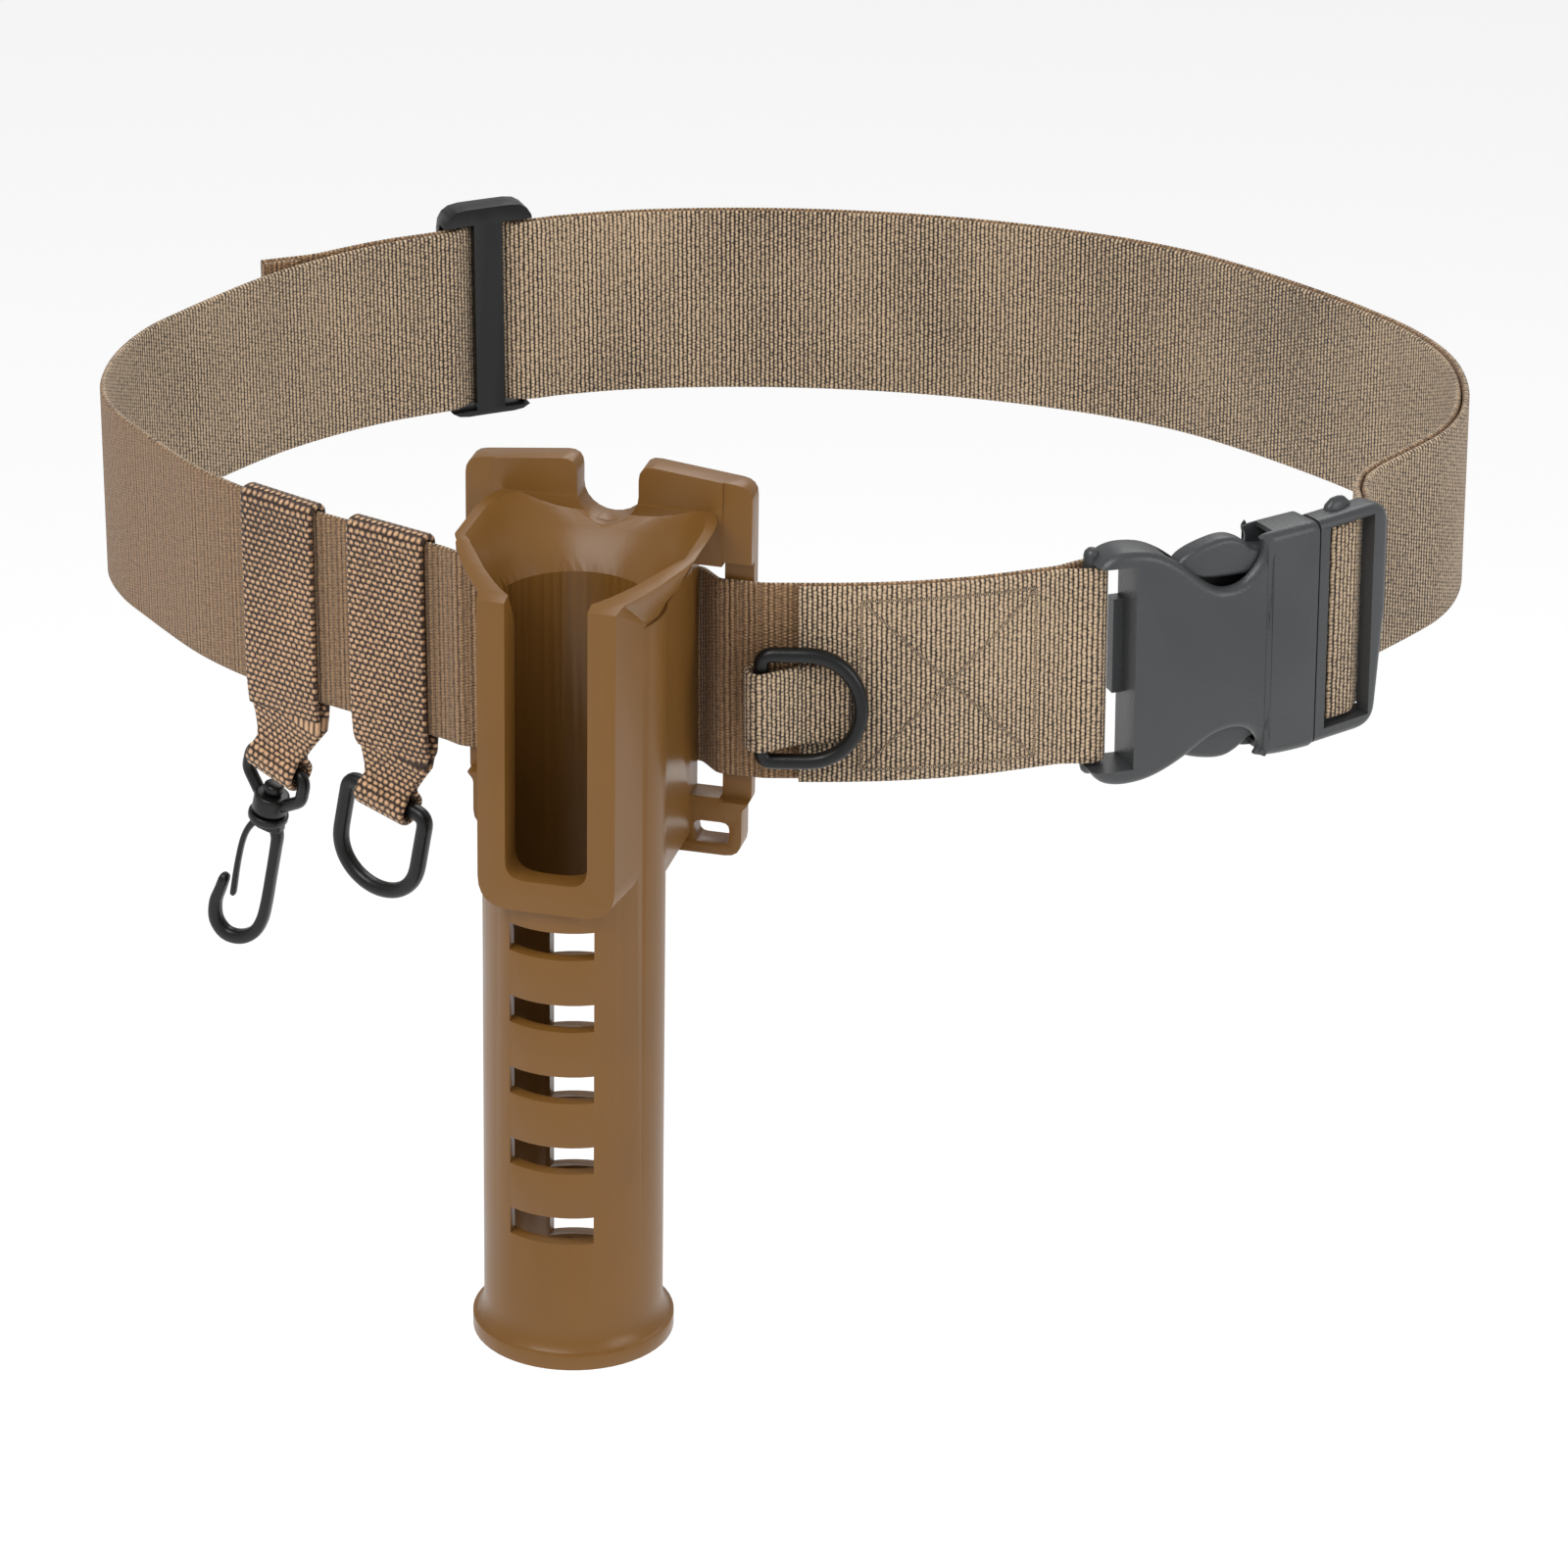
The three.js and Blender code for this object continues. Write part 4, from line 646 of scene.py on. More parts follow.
def mixed(tree, factor, a, b):
    mix = tree.nodes.new("ShaderNodeMix")
    mix.data_type = "RGBA"
    for socket, value in zip((mix.inputs[0], mix.inputs[6], mix.inputs[7]), (factor, a, b)):
        if isinstance(value, bpy.types.NodeSocket):
            tree.links.new(value, socket)
        else:
            socket.default_value = value
    return mix.outputs[2]


def new_group(name, inputs, outputs):
    tree = bpy.data.node_groups.new(name, "ShaderNodeTree")
    for label, default in inputs:
        socket = tree.interface.new_socket(label, in_out="INPUT", socket_type="NodeSocketFloat")
        socket.default_value = default
    for label in outputs:
        tree.interface.new_socket(label, in_out="OUTPUT", socket_type="NodeSocketFloat")
    return tree, tree.nodes.new("NodeGroupInput"), tree.nodes.new("NodeGroupOutput")


def weave_group():
    """Ribs across the webbing made of beads, each rib's beads half a bead from the next rib's.
    Height = |sin(pi u / pitch)| * (1 - depth + depth * |sin(pi v / bead)|)."""
    tree, given, out = new_group(
        "Woven ribs", [("Pitch", 1.15), ("Bead", 0.9), ("Bead Depth", 0.4), ("Twill", 0.5)],
        ["Height", "Tone"])
    uv = node(tree, "ShaderNodeUVMap", uv_map="Cloth")
    split = tree.nodes.new("ShaderNodeSeparateXYZ")
    tree.links.new(uv.outputs[0], split.inputs[0])
    wander = node(tree, "ShaderNodeTexNoise", scale=0.35, detail=2.0)
    tree.links.new(uv.outputs[0], wander.inputs["Vector"])
    along = maths(tree, "ADD", split.outputs[0], maths(tree, "MULTIPLY", wander.outputs[0], 0.5))
    count = maths(tree, "DIVIDE", along, given.outputs["Pitch"])
    rib = maths(tree, "ABSOLUTE", maths(tree, "SINE", maths(tree, "MULTIPLY", count, np.pi)))
    step = maths(tree, "MULTIPLY", maths(tree, "FLOOR", count), given.outputs["Twill"])
    beads = maths(tree, "ADD", maths(tree, "DIVIDE", split.outputs[1], given.outputs["Bead"]), step)
    bead = maths(tree, "ABSOLUTE", maths(tree, "SINE", maths(tree, "MULTIPLY", beads, np.pi)))
    depth = maths(tree, "MULTIPLY", given.outputs["Bead Depth"], maths(tree, "SUBTRACT", bead, 1.0))
    height = maths(tree, "MULTIPLY", maths(tree, "POWER", rib, 0.75), maths(tree, "ADD", depth, 1.0))
    tree.links.new(height, out.inputs["Height"])
    speck = node(tree, "ShaderNodeTexNoise", scale=0.95, detail=3.0)
    tree.links.new(uv.outputs[0], speck.inputs["Vector"])
    bright = maths(tree, "MULTIPLY", maths(tree, "SUBTRACT", speck.outputs[0], 0.5), 1.3)
    # Tone follows the relief: as colour it is painted shade in the grooves and painted highlight on the
    # crowns, with random speckle
    tree.links.new(maths(tree, "ADD", height, bright, clamp=True), out.inputs["Tone"])
    return tree


def grain_group():
    """Fine pitting and broad, faint changes of a moulded surface."""
    tree, given, out = new_group("Moulded grain", [("Scale", 1500.0), ("Broad", 40.0)],
                                 ["Height", "Broad Tone"])
    place = tree.nodes.new("ShaderNodeTexCoord")
    fine = node(tree, "ShaderNodeTexNoise", detail=2.0)
    broad = node(tree, "ShaderNodeTexNoise", detail=3.0)
    for texture, name in ((fine, "Scale"), (broad, "Broad")):
        tree.links.new(place.outputs["Object"], texture.inputs["Vector"])
        tree.links.new(given.outputs[name], texture.inputs["Scale"])
    tree.links.new(fine.outputs[0], out.inputs["Height"])
    tree.links.new(broad.outputs[0], out.inputs["Broad Tone"])
    return tree


def used(tree, group, **values):
    """A group's node with its inputs set."""
    use = tree.nodes.new("ShaderNodeGroup")
    use.node_tree = group
    for label, value in values.items():
        use.inputs[label.replace("_", " ")].default_value = value
    return use.outputs


def bumped(tree, bsdf, height, strength, distance):
    bump = node(tree, "ShaderNodeBump", strength=strength, distance=distance)
    tree.links.new(height, bump.inputs["Height"])
    tree.links.new(bump.outputs[0], bsdf.inputs["Normal"])


def webbing_material(name, weave, light, dark, pitch, bead, depth, twill):
    """Nylon webbing: yarn colour with painted highlight on the crowns, dark grooves of painted shade, broad
    uneven dye and a soft sheen.
    """
    material, tree, bsdf = shader(name)
    woven = used(tree, weave, Pitch=pitch, Bead=bead, Bead_Depth=depth, Twill=twill)
    broad = node(tree, "ShaderNodeTexNoise", scale=22.0, detail=3.0)
    place = tree.nodes.new("ShaderNodeTexCoord")
    tree.links.new(place.outputs["Object"], broad.inputs["Vector"])
    # Colour by tone: the dark colour is painted shade in the grooves, the light one painted highlight on the
    # crowns; the broad noise is uneven dye
    lifted = maths(tree, "MULTIPLY", maths(tree, "SUBTRACT", woven["Tone"], 0.62), 1.7)
    uneven = maths(tree, "MULTIPLY", maths(tree, "SUBTRACT", broad.outputs[0], 0.5), 0.7)
    tone = maths(tree, "ADD", maths(tree, "ADD", lifted, 0.5), uneven, clamp=True)
    colour = mixed(tree, tone, (*dark, 1), (*light, 1))
    tree.links.new(colour, bsdf.inputs["Base Color"])
    rough = maths(tree, "SUBTRACT", 0.82, maths(tree, "MULTIPLY", woven["Height"], 0.22))
    tree.links.new(rough, bsdf.inputs["Roughness"])
    bsdf.inputs["Sheen Weight"].default_value = 0.12
    bsdf.inputs["Sheen Roughness"].default_value = 0.4
    bumped(tree, bsdf, woven["Height"], 0.9, 0.0006)
    return material


def strap_material(weave, colours, sizes):
    """The strap's outer face has bold ribs, and its inner face finer and softer ones."""
    material = webbing_material("Waist webbing", weave, colours.strap_light, colours.strap_groove_shade,
                                sizes.rib_pitch, 0.95, 0.45, 0.5)
    tree = material.node_tree
    bsdf = tree.nodes["Principled BSDF"]
    side = node(tree, "ShaderNodeAttribute", attribute_name="inner")
    outer = bsdf.inputs["Base Color"].links[0].from_socket
    woven = used(tree, weave, Pitch=1.5, Bead=0.75, Bead_Depth=0.7, Twill=0.5)
    # The inner face's colour also follows its weave's relief: painted shade in the grooves, painted highlight
    # on the crowns
    inner = mixed(tree, woven["Tone"], (*colours.inner_groove_shade, 1), (*colours.inner_light, 1))
    tree.links.new(mixed(tree, side.outputs["Fac"], outer, inner), bsdf.inputs["Base Color"])
    return material


def plastic_material(name, grain, colour, roughness, variation, strength, gloss):
    """Moulded plastic: fine pitting, a slightly uneven colour and gloss."""
    material, tree, bsdf = shader(name)
    grained = used(tree, grain)
    change = maths(tree, "SUBTRACT", grained["Broad Tone"], 0.5)
    darker, lighter = [c * (1 - variation) for c in colour], [c * (1 + variation) for c in colour]
    tone = maths(tree, "ADD", maths(tree, "MULTIPLY", change, 1.6), 0.5, clamp=True)
    tree.links.new(mixed(tree, tone, (*darker, 1), (*lighter, 1)), bsdf.inputs["Base Color"])
    rough = maths(tree, "ADD", maths(tree, "MULTIPLY", change, 0.16), roughness)
    tree.links.new(rough, bsdf.inputs["Roughness"])
    bsdf.inputs["Specular IOR Level"].default_value = gloss
    bumped(tree, bsdf, grained["Height"], strength, 0.0001)
    return material


def finish_of(name):
    """One of the belt's materials, made the first time it is asked for."""
    found = bpy.data.materials.get(name)
    if found:
        return found
    colours, sizes = bpy.context.scene.belt_colours, bpy.context.scene.belt_sizes
    weave = bpy.data.node_groups.get("Woven ribs") or weave_group()
    grain = bpy.data.node_groups.get("Moulded grain") or grain_group()
    makers = {
        "Waist webbing": lambda: strap_material(weave, colours, sizes),
        "Loop webbing": lambda: webbing_material(
            "Loop webbing", weave, colours.loop_light, colours.loop_groove_shade, sizes.loop_pitch, 1.7, 0.75,
            0.5),
        "Sewing thread": lambda: webbing_material(
            "Sewing thread", weave, colours.strap_light, colours.strap_groove_shade, 0.5, 0.5, 0.3, 0.4),
        "Tan moulded plastic": lambda: plastic_material(
            "Tan moulded plastic", grain, colours.tan, 0.33, 0.08, 0.2, 0.34),
        "Buckle plastic": lambda: plastic_material(
            "Buckle plastic", grain, colours.buckle, 0.36, 0.15, 0.8, 0.5),
        "Fittings plastic": lambda: plastic_material(
            "Fittings plastic", grain, colours.fittings, 0.32, 0.15, 0.5, 0.35),
    }
    return makers[name]()


# Pieces

def strap_frame(station):
    """Place and turn of the single strap at a station on its left stretch."""
    ends = on_waist(np.array([station - 6, station + 6]), sampled(LEFT_SINGLE, [station - 6, station + 6]))
    at = on_waist(np.array([station]), sampled(LEFT_SINGLE, [station]))[0]
    return at, np.arctan2(*(ends[1] - ends[0])[::-1])


def hanging_frame(loop):
    """Origin, turn and swing of what hangs in a loop's eye."""
    at, turn = strap_frame(loop["at"])
    swing = np.radians(loop["swing"])
    below = loop["from"] - LOOP["eye"]
    aside = below * np.sin(swing)
    origin = [at[0] - aside * np.cos(turn), at[1] - aside * np.sin(turn),
              loop["from"] - below * np.cos(swing)]
    return np.array(origin), turn, swing


def stitch_row(start, end, length, place, radius=0.32):
    """Short threads from start to end, each an arch that dips into the cloth at its ends.
    start and end are (station, height), and place turns stations, heights and lift into points."""
    start, end = np.array(start, float), np.array(end, float)
    run = np.linalg.norm(end - start)
    count = max(1, int(round(run / length)))
    rows = []
    for i in range(count):
        t = (i + np.linspace(0.06, 0.94, 5)) / count
        line = start + (end - start) * t[:, None]
        lift = 0.34 * np.sin(np.linspace(0, np.pi, 5)) - 0.14
        path = place(line[:, 0], line[:, 1], lift)
        normal = path - place(line[:, 0], line[:, 1], lift - 1)
        normal /= np.linalg.norm(normal, axis=1, keepdims=True)
        rows.append(swept(path, normal, radius * 0.8, radius, sides=6))
    return rows


def loop_surface(loop):
    """Webbing on a closed line in the plane of out and z: over the strap, down both sides,
    together at the tack and round the eye. Below its bend it swings by an angle."""
    thick, tack, eye = LOOP["thick"], LOOP["tack"], LOOP["eye"]
    c = WEB_THICK / 2 + CLEAR + LOOP["ease"] + thick / 2
    top = WEB_WIDTH / 2 + CLEAR + thick / 2
    r = LOOP["eye_radius"] + thick / 2
    near = thick / 2 + 0.08
    ring = np.radians(np.linspace(58, -90, 12))
    right = [(c * 0.55, top), (c, top - 1.2), (c, 0), (c, -22), (c * 0.75, -28), (near, tack + 4),
             (near, tack + 0.5)]
    right += [(r * np.cos(a), eye + r * np.sin(a)) for a in ring]
    left = [(-x, z) for x, z in right[::-1][1:]]
    line = even(rounded(np.array([(0, top)] + right + left + [(0, top)]), 1.4, 5)[:-1], 0.55, closed=True)
    along = directions(line, closed=True)
    out, z = line.T
    centre = np.c_[0 * out, -out, z]
    face = np.c_[0 * out, along[:, 1], along[:, 0]]
    across = np.tile([1.0, 0.0, 0.0], (len(line), 1))
    wide, narrow = LOOP["width"] / 2, LOOP["eye_width"] / 2
    half = np.interp(z, (eye + 1.5, tack - 1.5, tack + 9), (narrow + 1.2, narrow + 0.6, wide))
    points, faces, uv, inner = webbing(centre, across, face, half, thick, closed=True)
    angle = np.radians(loop["swing"])
    below = np.maximum(loop["from"] - points[:, 2], 0)
    low = below > 0
    x = points[:, 0].copy()
    points[:, 0] = np.where(low, x * np.cos(angle) - below * np.sin(angle), x)
    points[:, 2] = np.where(low, loop["from"] - x * np.sin(angle) - below * np.cos(angle), points[:, 2])
    at, turn = strap_frame(loop["at"])
    return placed((points, faces, uv, inner), [*at, 0], turn)


def ring_line(width, height, wire):
    """Middle line of a D: a bar at x = 0 with eased corners, and a bow towards +x."""
    reach, far, corner = (height - wire) / 2, width - wire, 2.75
    t = np.linspace(0, 1, 10)[:, None]
    q = [np.array(p, float) for p in ((0, reach - corner), (0, reach), (corner, reach))]
    ease = (1 - t) ** 2 * q[0] + 2 * t * (1 - t) * q[1] + t**2 * q[2]
    b = [np.array(p, float) for p in ((far - reach * 0.95, reach), (far - reach * 0.35, reach),
                                      (far, reach * 0.5), (far, 0))]
    bow = (1 - t) ** 3 * b[0] + 3 * t * (1 - t) ** 2 * b[1] + 3 * t**2 * (1 - t) * b[2] + t**3 * b[3]
    half = np.r_[[[0, 0]], ease, bow]
    return even(np.r_[half, (half * [1, -1])[::-1][1:-1]], 0.7, closed=True)


def d_ring(width, height, wire):
    line = ring_line(width, height, wire)
    return swept(np.c_[line[:, 0], 0 * line[:, 0], line[:, 1]], (0, 1, 0), wire / 2, wire / 2,
                 closed=True, sides=20, power=2.4)


def spline(points, count):
    """Cubic Hermite through rows of values, evenly spaced along their line."""
    length = np.r_[0, np.cumsum(np.linalg.norm(np.diff(points[:, :2], axis=0), axis=1))]
    s = np.linspace(0, length[-1], count)
    return np.stack([sampled(np.c_[length, axis], s) for axis in points.T], 1)


def knob_rows(radius, low, high, ease):
    """Radius and height of a short round bar whose rims are eased by a quarter circle."""
    phi = np.radians([0, 30, 60, 90])
    top = [(radius - ease + ease * np.cos(p), high - ease + ease * np.sin(p)) for p in phi]
    bottom = [(r, low + high - z) for r, z in top[::-1]]
    return [(0.02, low)] + bottom + top + [(0.02, high)]


def socket_surface():
    """A softly rounded face outline, cut by the web slot, the hollow for the plug and the two
    thumb windows. x is the station and y the distance inwards."""
    start, end = SOCKET["start"], SOCKET["end"]
    inner, outer = -SOCKET["inner"], -SOCKET["outer"]
    x = start + SOCKET_FACE[:, 0] * (end - start)
    outline = eased(np.r_[np.c_[x, SOCKET_FACE[:, 1]], np.c_[x, SOCKET_FACE[:, 2]][::-1]])
    plate = shifted_along(slab(outline, (inner - outer) / 2, 2.4, 6), (0, (inner + outer) / 2, 0))
    hollow = (outer + SOCKET["wall"], inner - SOCKET["wall"])
    window = (CAVITY_START + 4, start + (end - start) * 0.8)
    shell = carved(
        plate,
        block((end, end + FAR), (-FAR, FAR), (-FAR, FAR)),
        block((start - FAR, SOCKET_SLOT[1]), (-FAR, FAR), (-WINDOW_HALF, WINDOW_HALF)),
        block((CAVITY_START, end + 5), hollow, (SOCKET["bottom"] + CAVITY_ROOF, SOCKET["top"] - CAVITY_ROOF)),
        block(window, hollow, (POCKET_FLOOR, FAR)),
        block(window, hollow, (-FAR, -POCKET_FLOOR)))
    bar = swept([(SOCKET_BAR["at"], -SOCKET_BAR["out"], z) for z in (-WINDOW_HALF - 1, WINDOW_HALF + 1)],
                (1, 0, 0), SOCKET_BAR["radius"], SOCKET_BAR["radius"])
    boss = block((SOCKET_SLOT[0] + 1.2, SOCKET_SLOT[1] + 0.5), (-SOCKET_BAR["out"], inner), SOCKET_BOSS)
    return joined(shell, bar, boss)


def plug_surface():
    """A rounded frame cut by its window and by the strap's way, with a flat bar, two prongs
    and a middle guide. x is the station and y the distance inwards."""
    base, end = PLUG["base"], PLUG["end"]
    inner, outer = -PLUG["inner"], -PLUG["outer"]
    start = base + PLUG["base_thick"]
    outline = rounded([
        (base - 6, 0), (base - 6, PLUG["bottom"]), (end - PLUG["taper"], PLUG["bottom"]), (end, 0),
        (end, PLUG["top"]), (base - 6, PLUG["top"]), (base - 6, 0)], 6, 8)[:-1]
    frame = carved(
        shifted_along(slab(outline, (inner - outer) / 2, 2.2, 6), (0, (inner + outer) / 2, 0)),
        block((base - FAR, base), (-FAR, FAR), (-FAR, FAR)),
        block((start, PLUG_END_BAR["start"]), (-FAR, FAR), (-WINDOW_HALF, WINDOW_HALF)),
        block((start, end + 3), (-PLUG_END_BAR["inner"], FAR), (-WINDOW_HALF, WINDOW_HALF)))
    radius = PLUG_BAR["radius"]
    span = PLUG_BAR["right"] - PLUG_BAR["left"]
    middle, half = span / 2, span / 2 + radius
    ends = [(PLUG_BAR["left"] + middle, -PLUG_BAR["out"], z) for z in (-WINDOW_HALF - 1, WINDOW_HALF + 1)]
    bar = swept(ends, (1, 0, 0), half, radius, power=3)
    prongs = []
    depth = -(SOCKET["inner"] + SOCKET["outer"]) / 2
    for side in (-1, 1):
        ring = np.r_[np.c_[PRONG[:, 0], side * PRONG[:, 2]], np.c_[PRONG[:, 0], side * PRONG[:, 1]][::-1]]
        prongs.append(shifted_along(slab(eased(ring), PRONG_THICK / 2, 1.5, 5), (0, depth, 0)))
    guide = block((PLUG_GUIDE[0], base + 1), (depth - PRONG_THICK / 2, depth + PRONG_THICK / 2),
                  (-PLUG_GUIDE[1], PLUG_GUIDE[1]))
    return joined(frame, bar, *prongs, guide)


class BELT_OT_strap(Operator):
    """Builds the waist strap from its sewn end to its free end"""

    bl_idname = "belt.strap"
    bl_label = "Waist Strap"

    def execute(self, context):
        path = even(strap_path(), ROUTE_STEP)
        made("waist_webbing", plan_band(path, 0, WEB_WIDTH, WEB_THICK), finish_of("Waist webbing"),
             "belt", "waist_strap", slot="strap_webbing")
        end = route(TAIL)
        hem = shifted(end[-int(HEM_LENGTH / ROUTE_STEP):], -WEB_THICK * 0.92)
        made("tail_hem", plan_band(even(hem, ROUTE_STEP), 0, WEB_WIDTH - 0.6, WEB_THICK),
             finish_of("Waist webbing"), "belt", slot="strap_webbing")
        return {"FINISHED"}


class BELT_OT_stitching(Operator):
    """Sews the strap's box and cross"""

    bl_idname = "belt.stitching"
    bl_label = "Stitching"

    def execute(self, context):
        length = context.scene.belt_sizes.stitch

        def front(s, z, lift):
            out = sampled(FRONT_PAIR, s) + PAIR_STEP / 2 + WEB_THICK / 2 + lift
            return np.c_[on_waist(s, out), z]

        rows = []
        left, right, top = STITCH_BOX["left"], STITCH_BOX["right"], STITCH_BOX["half_height"]
        low = -top
        for a, b in (((left, top), (right, top)), ((right, top), (right, low)),
                     ((right, low), (left, low)), ((left, low), (left, top)),
                     ((left, top), (right, low)), ((left, low), (right, top))):
            rows += stitch_row(a, b, length, front)
        made("strap_box_stitching", joined(*rows), finish_of("Sewing thread"), "belt",
             slot="strap_webbing")
        return {"FINISHED"}


class BELT_OT_holder(Operator):
    """Dresses the moulded rod holder"""

    bl_idname = "belt.holder"
    bl_label = "Rod Holder"

    def execute(self, context):
        refined("holder_moulding", "rod_holder", finish_of("Tan moulded plastic"),
                context.scene.belt_sizes.edge_round)
        return {"FINISHED"}


class BELT_OT_buckle(Operator):
    """Dresses the side release buckle and the tri-glide"""

    bl_idname = "belt.buckle"
    bl_label = "Buckle and Tri-Glide"

    def execute(self, context):
        satin = finish_of("Buckle plastic")
        rounding = context.scene.belt_sizes.buckle_round
        for name, surface, cad in (("buckle_socket_shell", socket_surface(), "buckle_socket"),
                                   ("buckle_plug_frame", plug_surface(), "buckle_plug")):
            piece = made(name, on_buckle_line(surface), satin, "belt", cad, slot="black_plastic")
            rounded_edges(piece, rounding * 0.45, 40, 2)
        refined("tri_glide_frame", "tri_glide", finish_of("Fittings plastic"),
                rounding * 0.8)
        return {"FINISHED"}


class BELT_OT_rings(Operator):
    """Builds both D-rings and the front ring's tab"""

    bl_idname = "belt.rings"
    bl_label = "D-Rings"

    def execute(self, context):
        black = finish_of("Fittings plastic")
        out = 1 + FRONT_RING["lift"]
        at, turn = on_waist(FRONT_RING["at"], out), waist_turn(FRONT_RING["at"])
        ring = d_ring(FRONT_RING["width"], FRONT_RING["height"], RING_WIRE)
        made("front_ring", placed(ring, [*at, FRONT_RING["z"]], turn), black, "front_ring",
             "front_d_ring", slot="black_plastic")
        radius = RING_WIRE * 0.68 + CLEAR + TAB["thick"] / 2
        seam = FRONT_PAIR[0][1] + PAIR_STEP / 2 + WEB_THICK / 2
        line = np.r_[
            [on_waist(SEAM_AT - 1.4, out - radius)],
            turn_around(at, radius, turn + np.pi / 2, turn + np.pi * 1.5, 16),
            [on_waist(SEAM_AT + 1, seam + 0.9 + TAB["thick"] / 2),
             on_waist(TAB["end"], seam + 0.6 + TAB["thick"] / 2)]]
        made("front_ring_tab", plan_band(even(line, 0.6), TAB["z"], TAB["width"], TAB["thick"]),
             finish_of("Waist webbing"), "belt", "d_ring_tab", slot="strap_webbing")
        origin, turn, swing = hanging_frame(RING_LOOP)
        ring = d_ring(HANGING_RING["drop"], HANGING_RING["width"], BAR_RADIUS * 2)
        ring = placed(ring, (0, 0, 0), swing=np.pi / 2)
        made("hanging_ring", placed(ring, origin, turn, swing), black, "hanging_ring",
             "hanging_d_ring", slot="black_plastic")
        return {"FINISHED"}


class BELT_OT_loops(Operator):
    """Builds the two hanging webbing loops"""

    bl_idname = "belt.loops"
    bl_label = "Hanging Loops"

    def execute(self, context):
        cloth = finish_of("Loop webbing")
        made("hook_loop_webbing", loop_surface(HOOK_LOOP), cloth, "belt", "hook_loop",
             slot="loop_webbing")
        made("ring_loop_webbing", loop_surface(RING_LOOP), cloth, "belt", "ring_loop",
             slot="loop_webbing")
        return {"FINISHED"}


class BELT_OT_hook(Operator):
    """Builds the swivel eye and the snap hook"""

    bl_idname = "belt.hook"
    bl_label = "Snap Hook"

    def execute(self, context):
        black = finish_of("Fittings plastic")
        origin, turn, swing = hanging_frame(HOOK_LOOP)
        drop, wire = EYE["drop"], EYE["wire"]
        reach = EYE["half_width"] - wire / 2
        line = even(rounded([
            (0, 0), (-reach, 0), (-reach, -drop * 0.56), (-3.4, -drop + 0.4), (3.4, -drop + 0.4),
            (reach, -drop * 0.56), (reach, 0), (0, 0)], 3)[:-1], 0.5, closed=True)
        bow = swept(np.c_[line[:, 0], 0 * line[:, 0], line[:, 1]], (0, 1, 0), wire / 2, wire / 2,
                    closed=True, sides=14)
        low, high = -drop - COLLAR["height"] / 2, -drop + COLLAR["height"] / 2
        collar = turned(knob_rows(COLLAR["radius"], low, high, 0.7))
        made("hook_swivel_eye", placed(joined(bow, collar), origin, turn, swing), black, "eye",
             "hook_eye", slot="black_plastic")
        half = HOOK_THICK / 2
        hook_line, gate_line = spline(HOOK_LINE, 60), spline(GATE_LINE, 30)
        parts = []
        for line, depth, power in ((hook_line, half, 2.8), (gate_line, half * 0.66, 2.4)):
            path = np.c_[line[:, 0], 0 * line[:, 0], line[:, 1]]
            parts.append(swept(path, (0, 1, 0), depth, line[:, 2] / 2, sides=16, power=power))
        parts.append(slab(rounded(CROWN + CROWN[:1], 0.8, 3)[:-1], half, 0.5))
        parts.append(turned(knob_rows(NECK_RADIUS, -2, 0, 0.5)))
        start = CLEAR * 2 + COLLAR["height"]
        parts.append(turned(knob_rows(KNOB["radius"], start, start + KNOB["height"], 0.8)))
        hook = placed(joined(*parts), (0, 0, -drop - COLLAR["height"] / 2 - CLEAR), HOOK_TURN)
        made("snap_hook_body", placed(hook, origin, turn, swing), black, "hook", "snap_hook",
             slot="black_plastic")
        return {"FINISHED"}


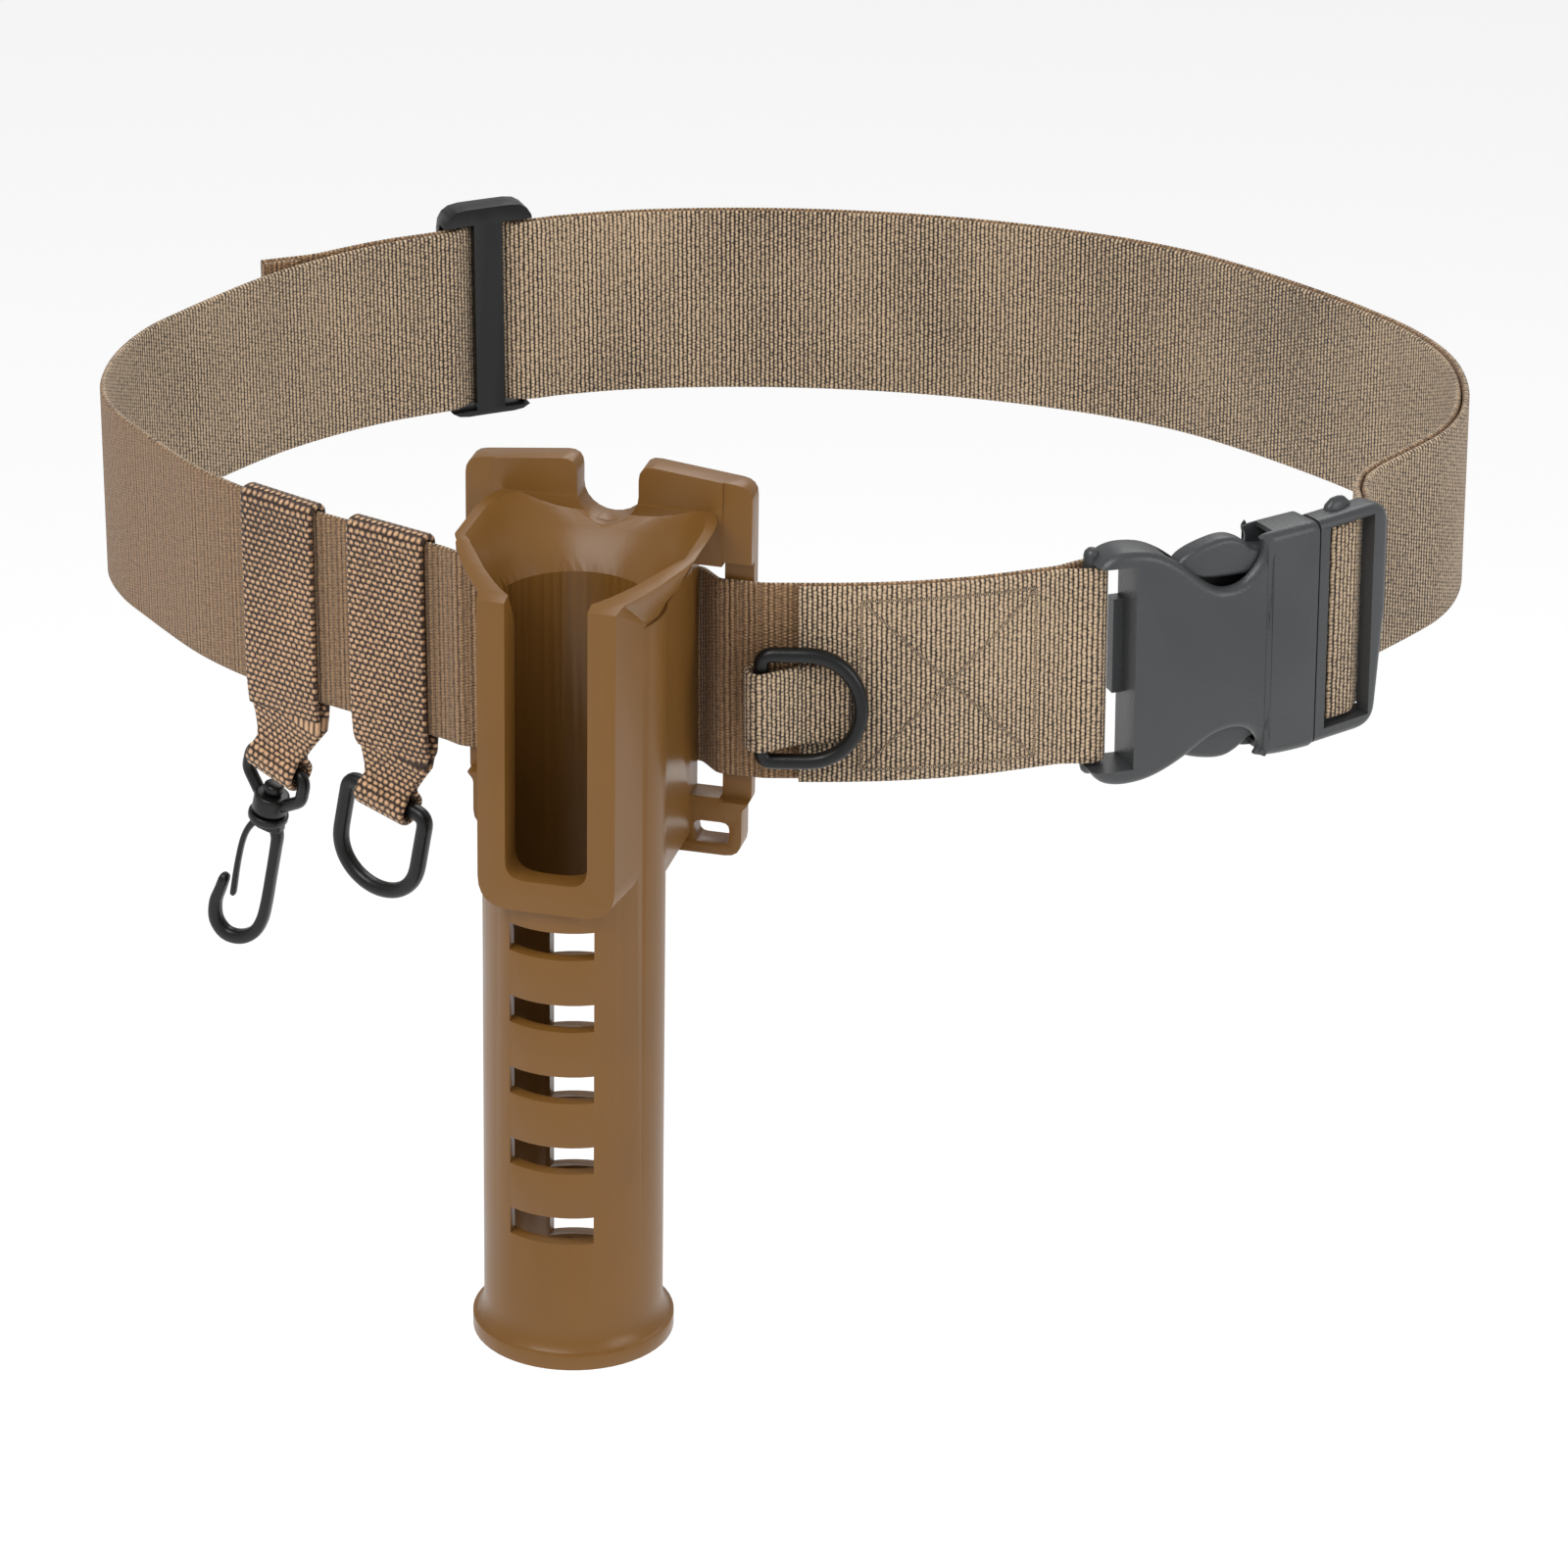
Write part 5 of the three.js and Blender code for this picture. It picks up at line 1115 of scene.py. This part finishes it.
class BELT_OT_stage(Operator):
    """Lays the floor and sets the lights and the camera"""

    bl_idname = "belt.stage"
    bl_label = "Stage"

    def execute(self, context):
        stage = context.scene.belt_stage
        drop = stage.floor_drop
        reach = 7.0
        mesh = bpy.data.meshes.new("floor")
        mesh.from_pydata([(-reach, -reach, -drop), (reach, -reach, -drop), (reach, reach, -drop),
                          (-reach, reach, -drop)], [], [(0, 1, 2, 3)])
        material, _, bsdf = shader("Pale floor")
        bsdf.inputs["Base Color"].default_value = (0.93, 0.93, 0.93, 1)
        bsdf.inputs["Roughness"].default_value = 0.9
        bsdf.inputs["Emission Color"].default_value = (1, 1, 1, 1)
        bsdf.inputs["Emission Strength"].default_value = 0.3
        mesh.materials.append(material)
        floor = bpy.data.objects.new("floor", mesh)
        context.scene.collection.objects.link(floor)

        world = bpy.data.worlds.new("Studio")
        world.use_nodes = True
        background = world.node_tree.nodes["Background"]
        background.inputs["Color"].default_value = (1, 1, 1, 1)
        background.inputs["Strength"].default_value = stage.sky
        context.scene.world = world
        context.scene.view_settings.view_transform = "Standard"

        for name, place, aim, size, power in (
                ("key_light", (-0.7, -1.1, 1.5), (0, 0, -0.05), 1.1, stage.key_power),
                ("fill_light", (1.5, -1.0, 0.5), (0, 0, -0.05), 0.9, stage.fill_power),
                ("rim_light", (0.4, 1.2, 1.3), (0, 0, 0), 0.9, stage.fill_power)):
            lamp = bpy.data.lights.new(name, "AREA")
            lamp.size = size
            lamp.energy = power
            light = bpy.data.objects.new(name, lamp)
            light.location = place
            away = np.array(place) - np.array(aim)
            light.rotation_euler = (np.arctan2(np.hypot(away[0], away[1]), away[2]), 0,
                                    np.arctan2(away[1], away[0]) + np.pi / 2)
            context.scene.collection.objects.link(light)

        camera = bpy.data.objects.new("camera", bpy.data.cameras.new("camera"))
        camera.location = (CAMERA_AIM[0], -CAMERA_DISTANCE * np.cos(CAMERA_ELEVATION),
                           CAMERA_DISTANCE * np.sin(CAMERA_ELEVATION) + CAMERA_AIM[1])
        camera.rotation_euler = (np.pi / 2 - CAMERA_ELEVATION, 0, 0)
        camera.data.lens = SENSOR_WIDTH * FOCAL_PIXELS / PHOTO_PIXELS
        camera.data.sensor_width = SENSOR_WIDTH
        camera.data.clip_end = 50
        context.scene.collection.objects.link(camera)
        context.scene.camera = camera
        return {"FINISHED"}


STEPS = (BELT_OT_stage, BELT_OT_strap, BELT_OT_holder, BELT_OT_buckle, BELT_OT_rings,
         BELT_OT_loops, BELT_OT_hook, BELT_OT_stitching)


class BELT_PT_panel(Panel):
    """Lists the belt's pieces and settings"""

    bl_label = "Fishing Fighting Belt"
    bl_idname = "BELT_PT_panel"
    bl_space_type = "VIEW_3D"
    bl_region_type = "UI"
    bl_category = "Belt"

    def draw(self, context):
        scene = context.scene
        for group in (scene.belt_sizes, scene.belt_colours, scene.belt_stage):
            for name in group.bl_rna.properties.keys():
                if name not in {"rna_type", "name"}:
                    self.layout.prop(group, name)
        for step in STEPS:
            self.layout.operator(step.bl_idname)


CLASSES = (BeltSizes, BeltColours, BeltStage, *STEPS, BELT_PT_panel)


def register():
    for cls in CLASSES:
        bpy.utils.register_class(cls)
    bpy.types.Scene.belt_sizes = PointerProperty(type=BeltSizes)
    bpy.types.Scene.belt_colours = PointerProperty(type=BeltColours)
    bpy.types.Scene.belt_stage = PointerProperty(type=BeltStage)


def unregister():
    del bpy.types.Scene.belt_stage
    del bpy.types.Scene.belt_colours
    del bpy.types.Scene.belt_sizes
    for cls in reversed(CLASSES):
        bpy.utils.unregister_class(cls)


def main():
    register()
    for step in STEPS:
        group, name = step.bl_idname.split(".")
        getattr(getattr(bpy.ops, group), name)()


if __name__ == "__main__":
    main()
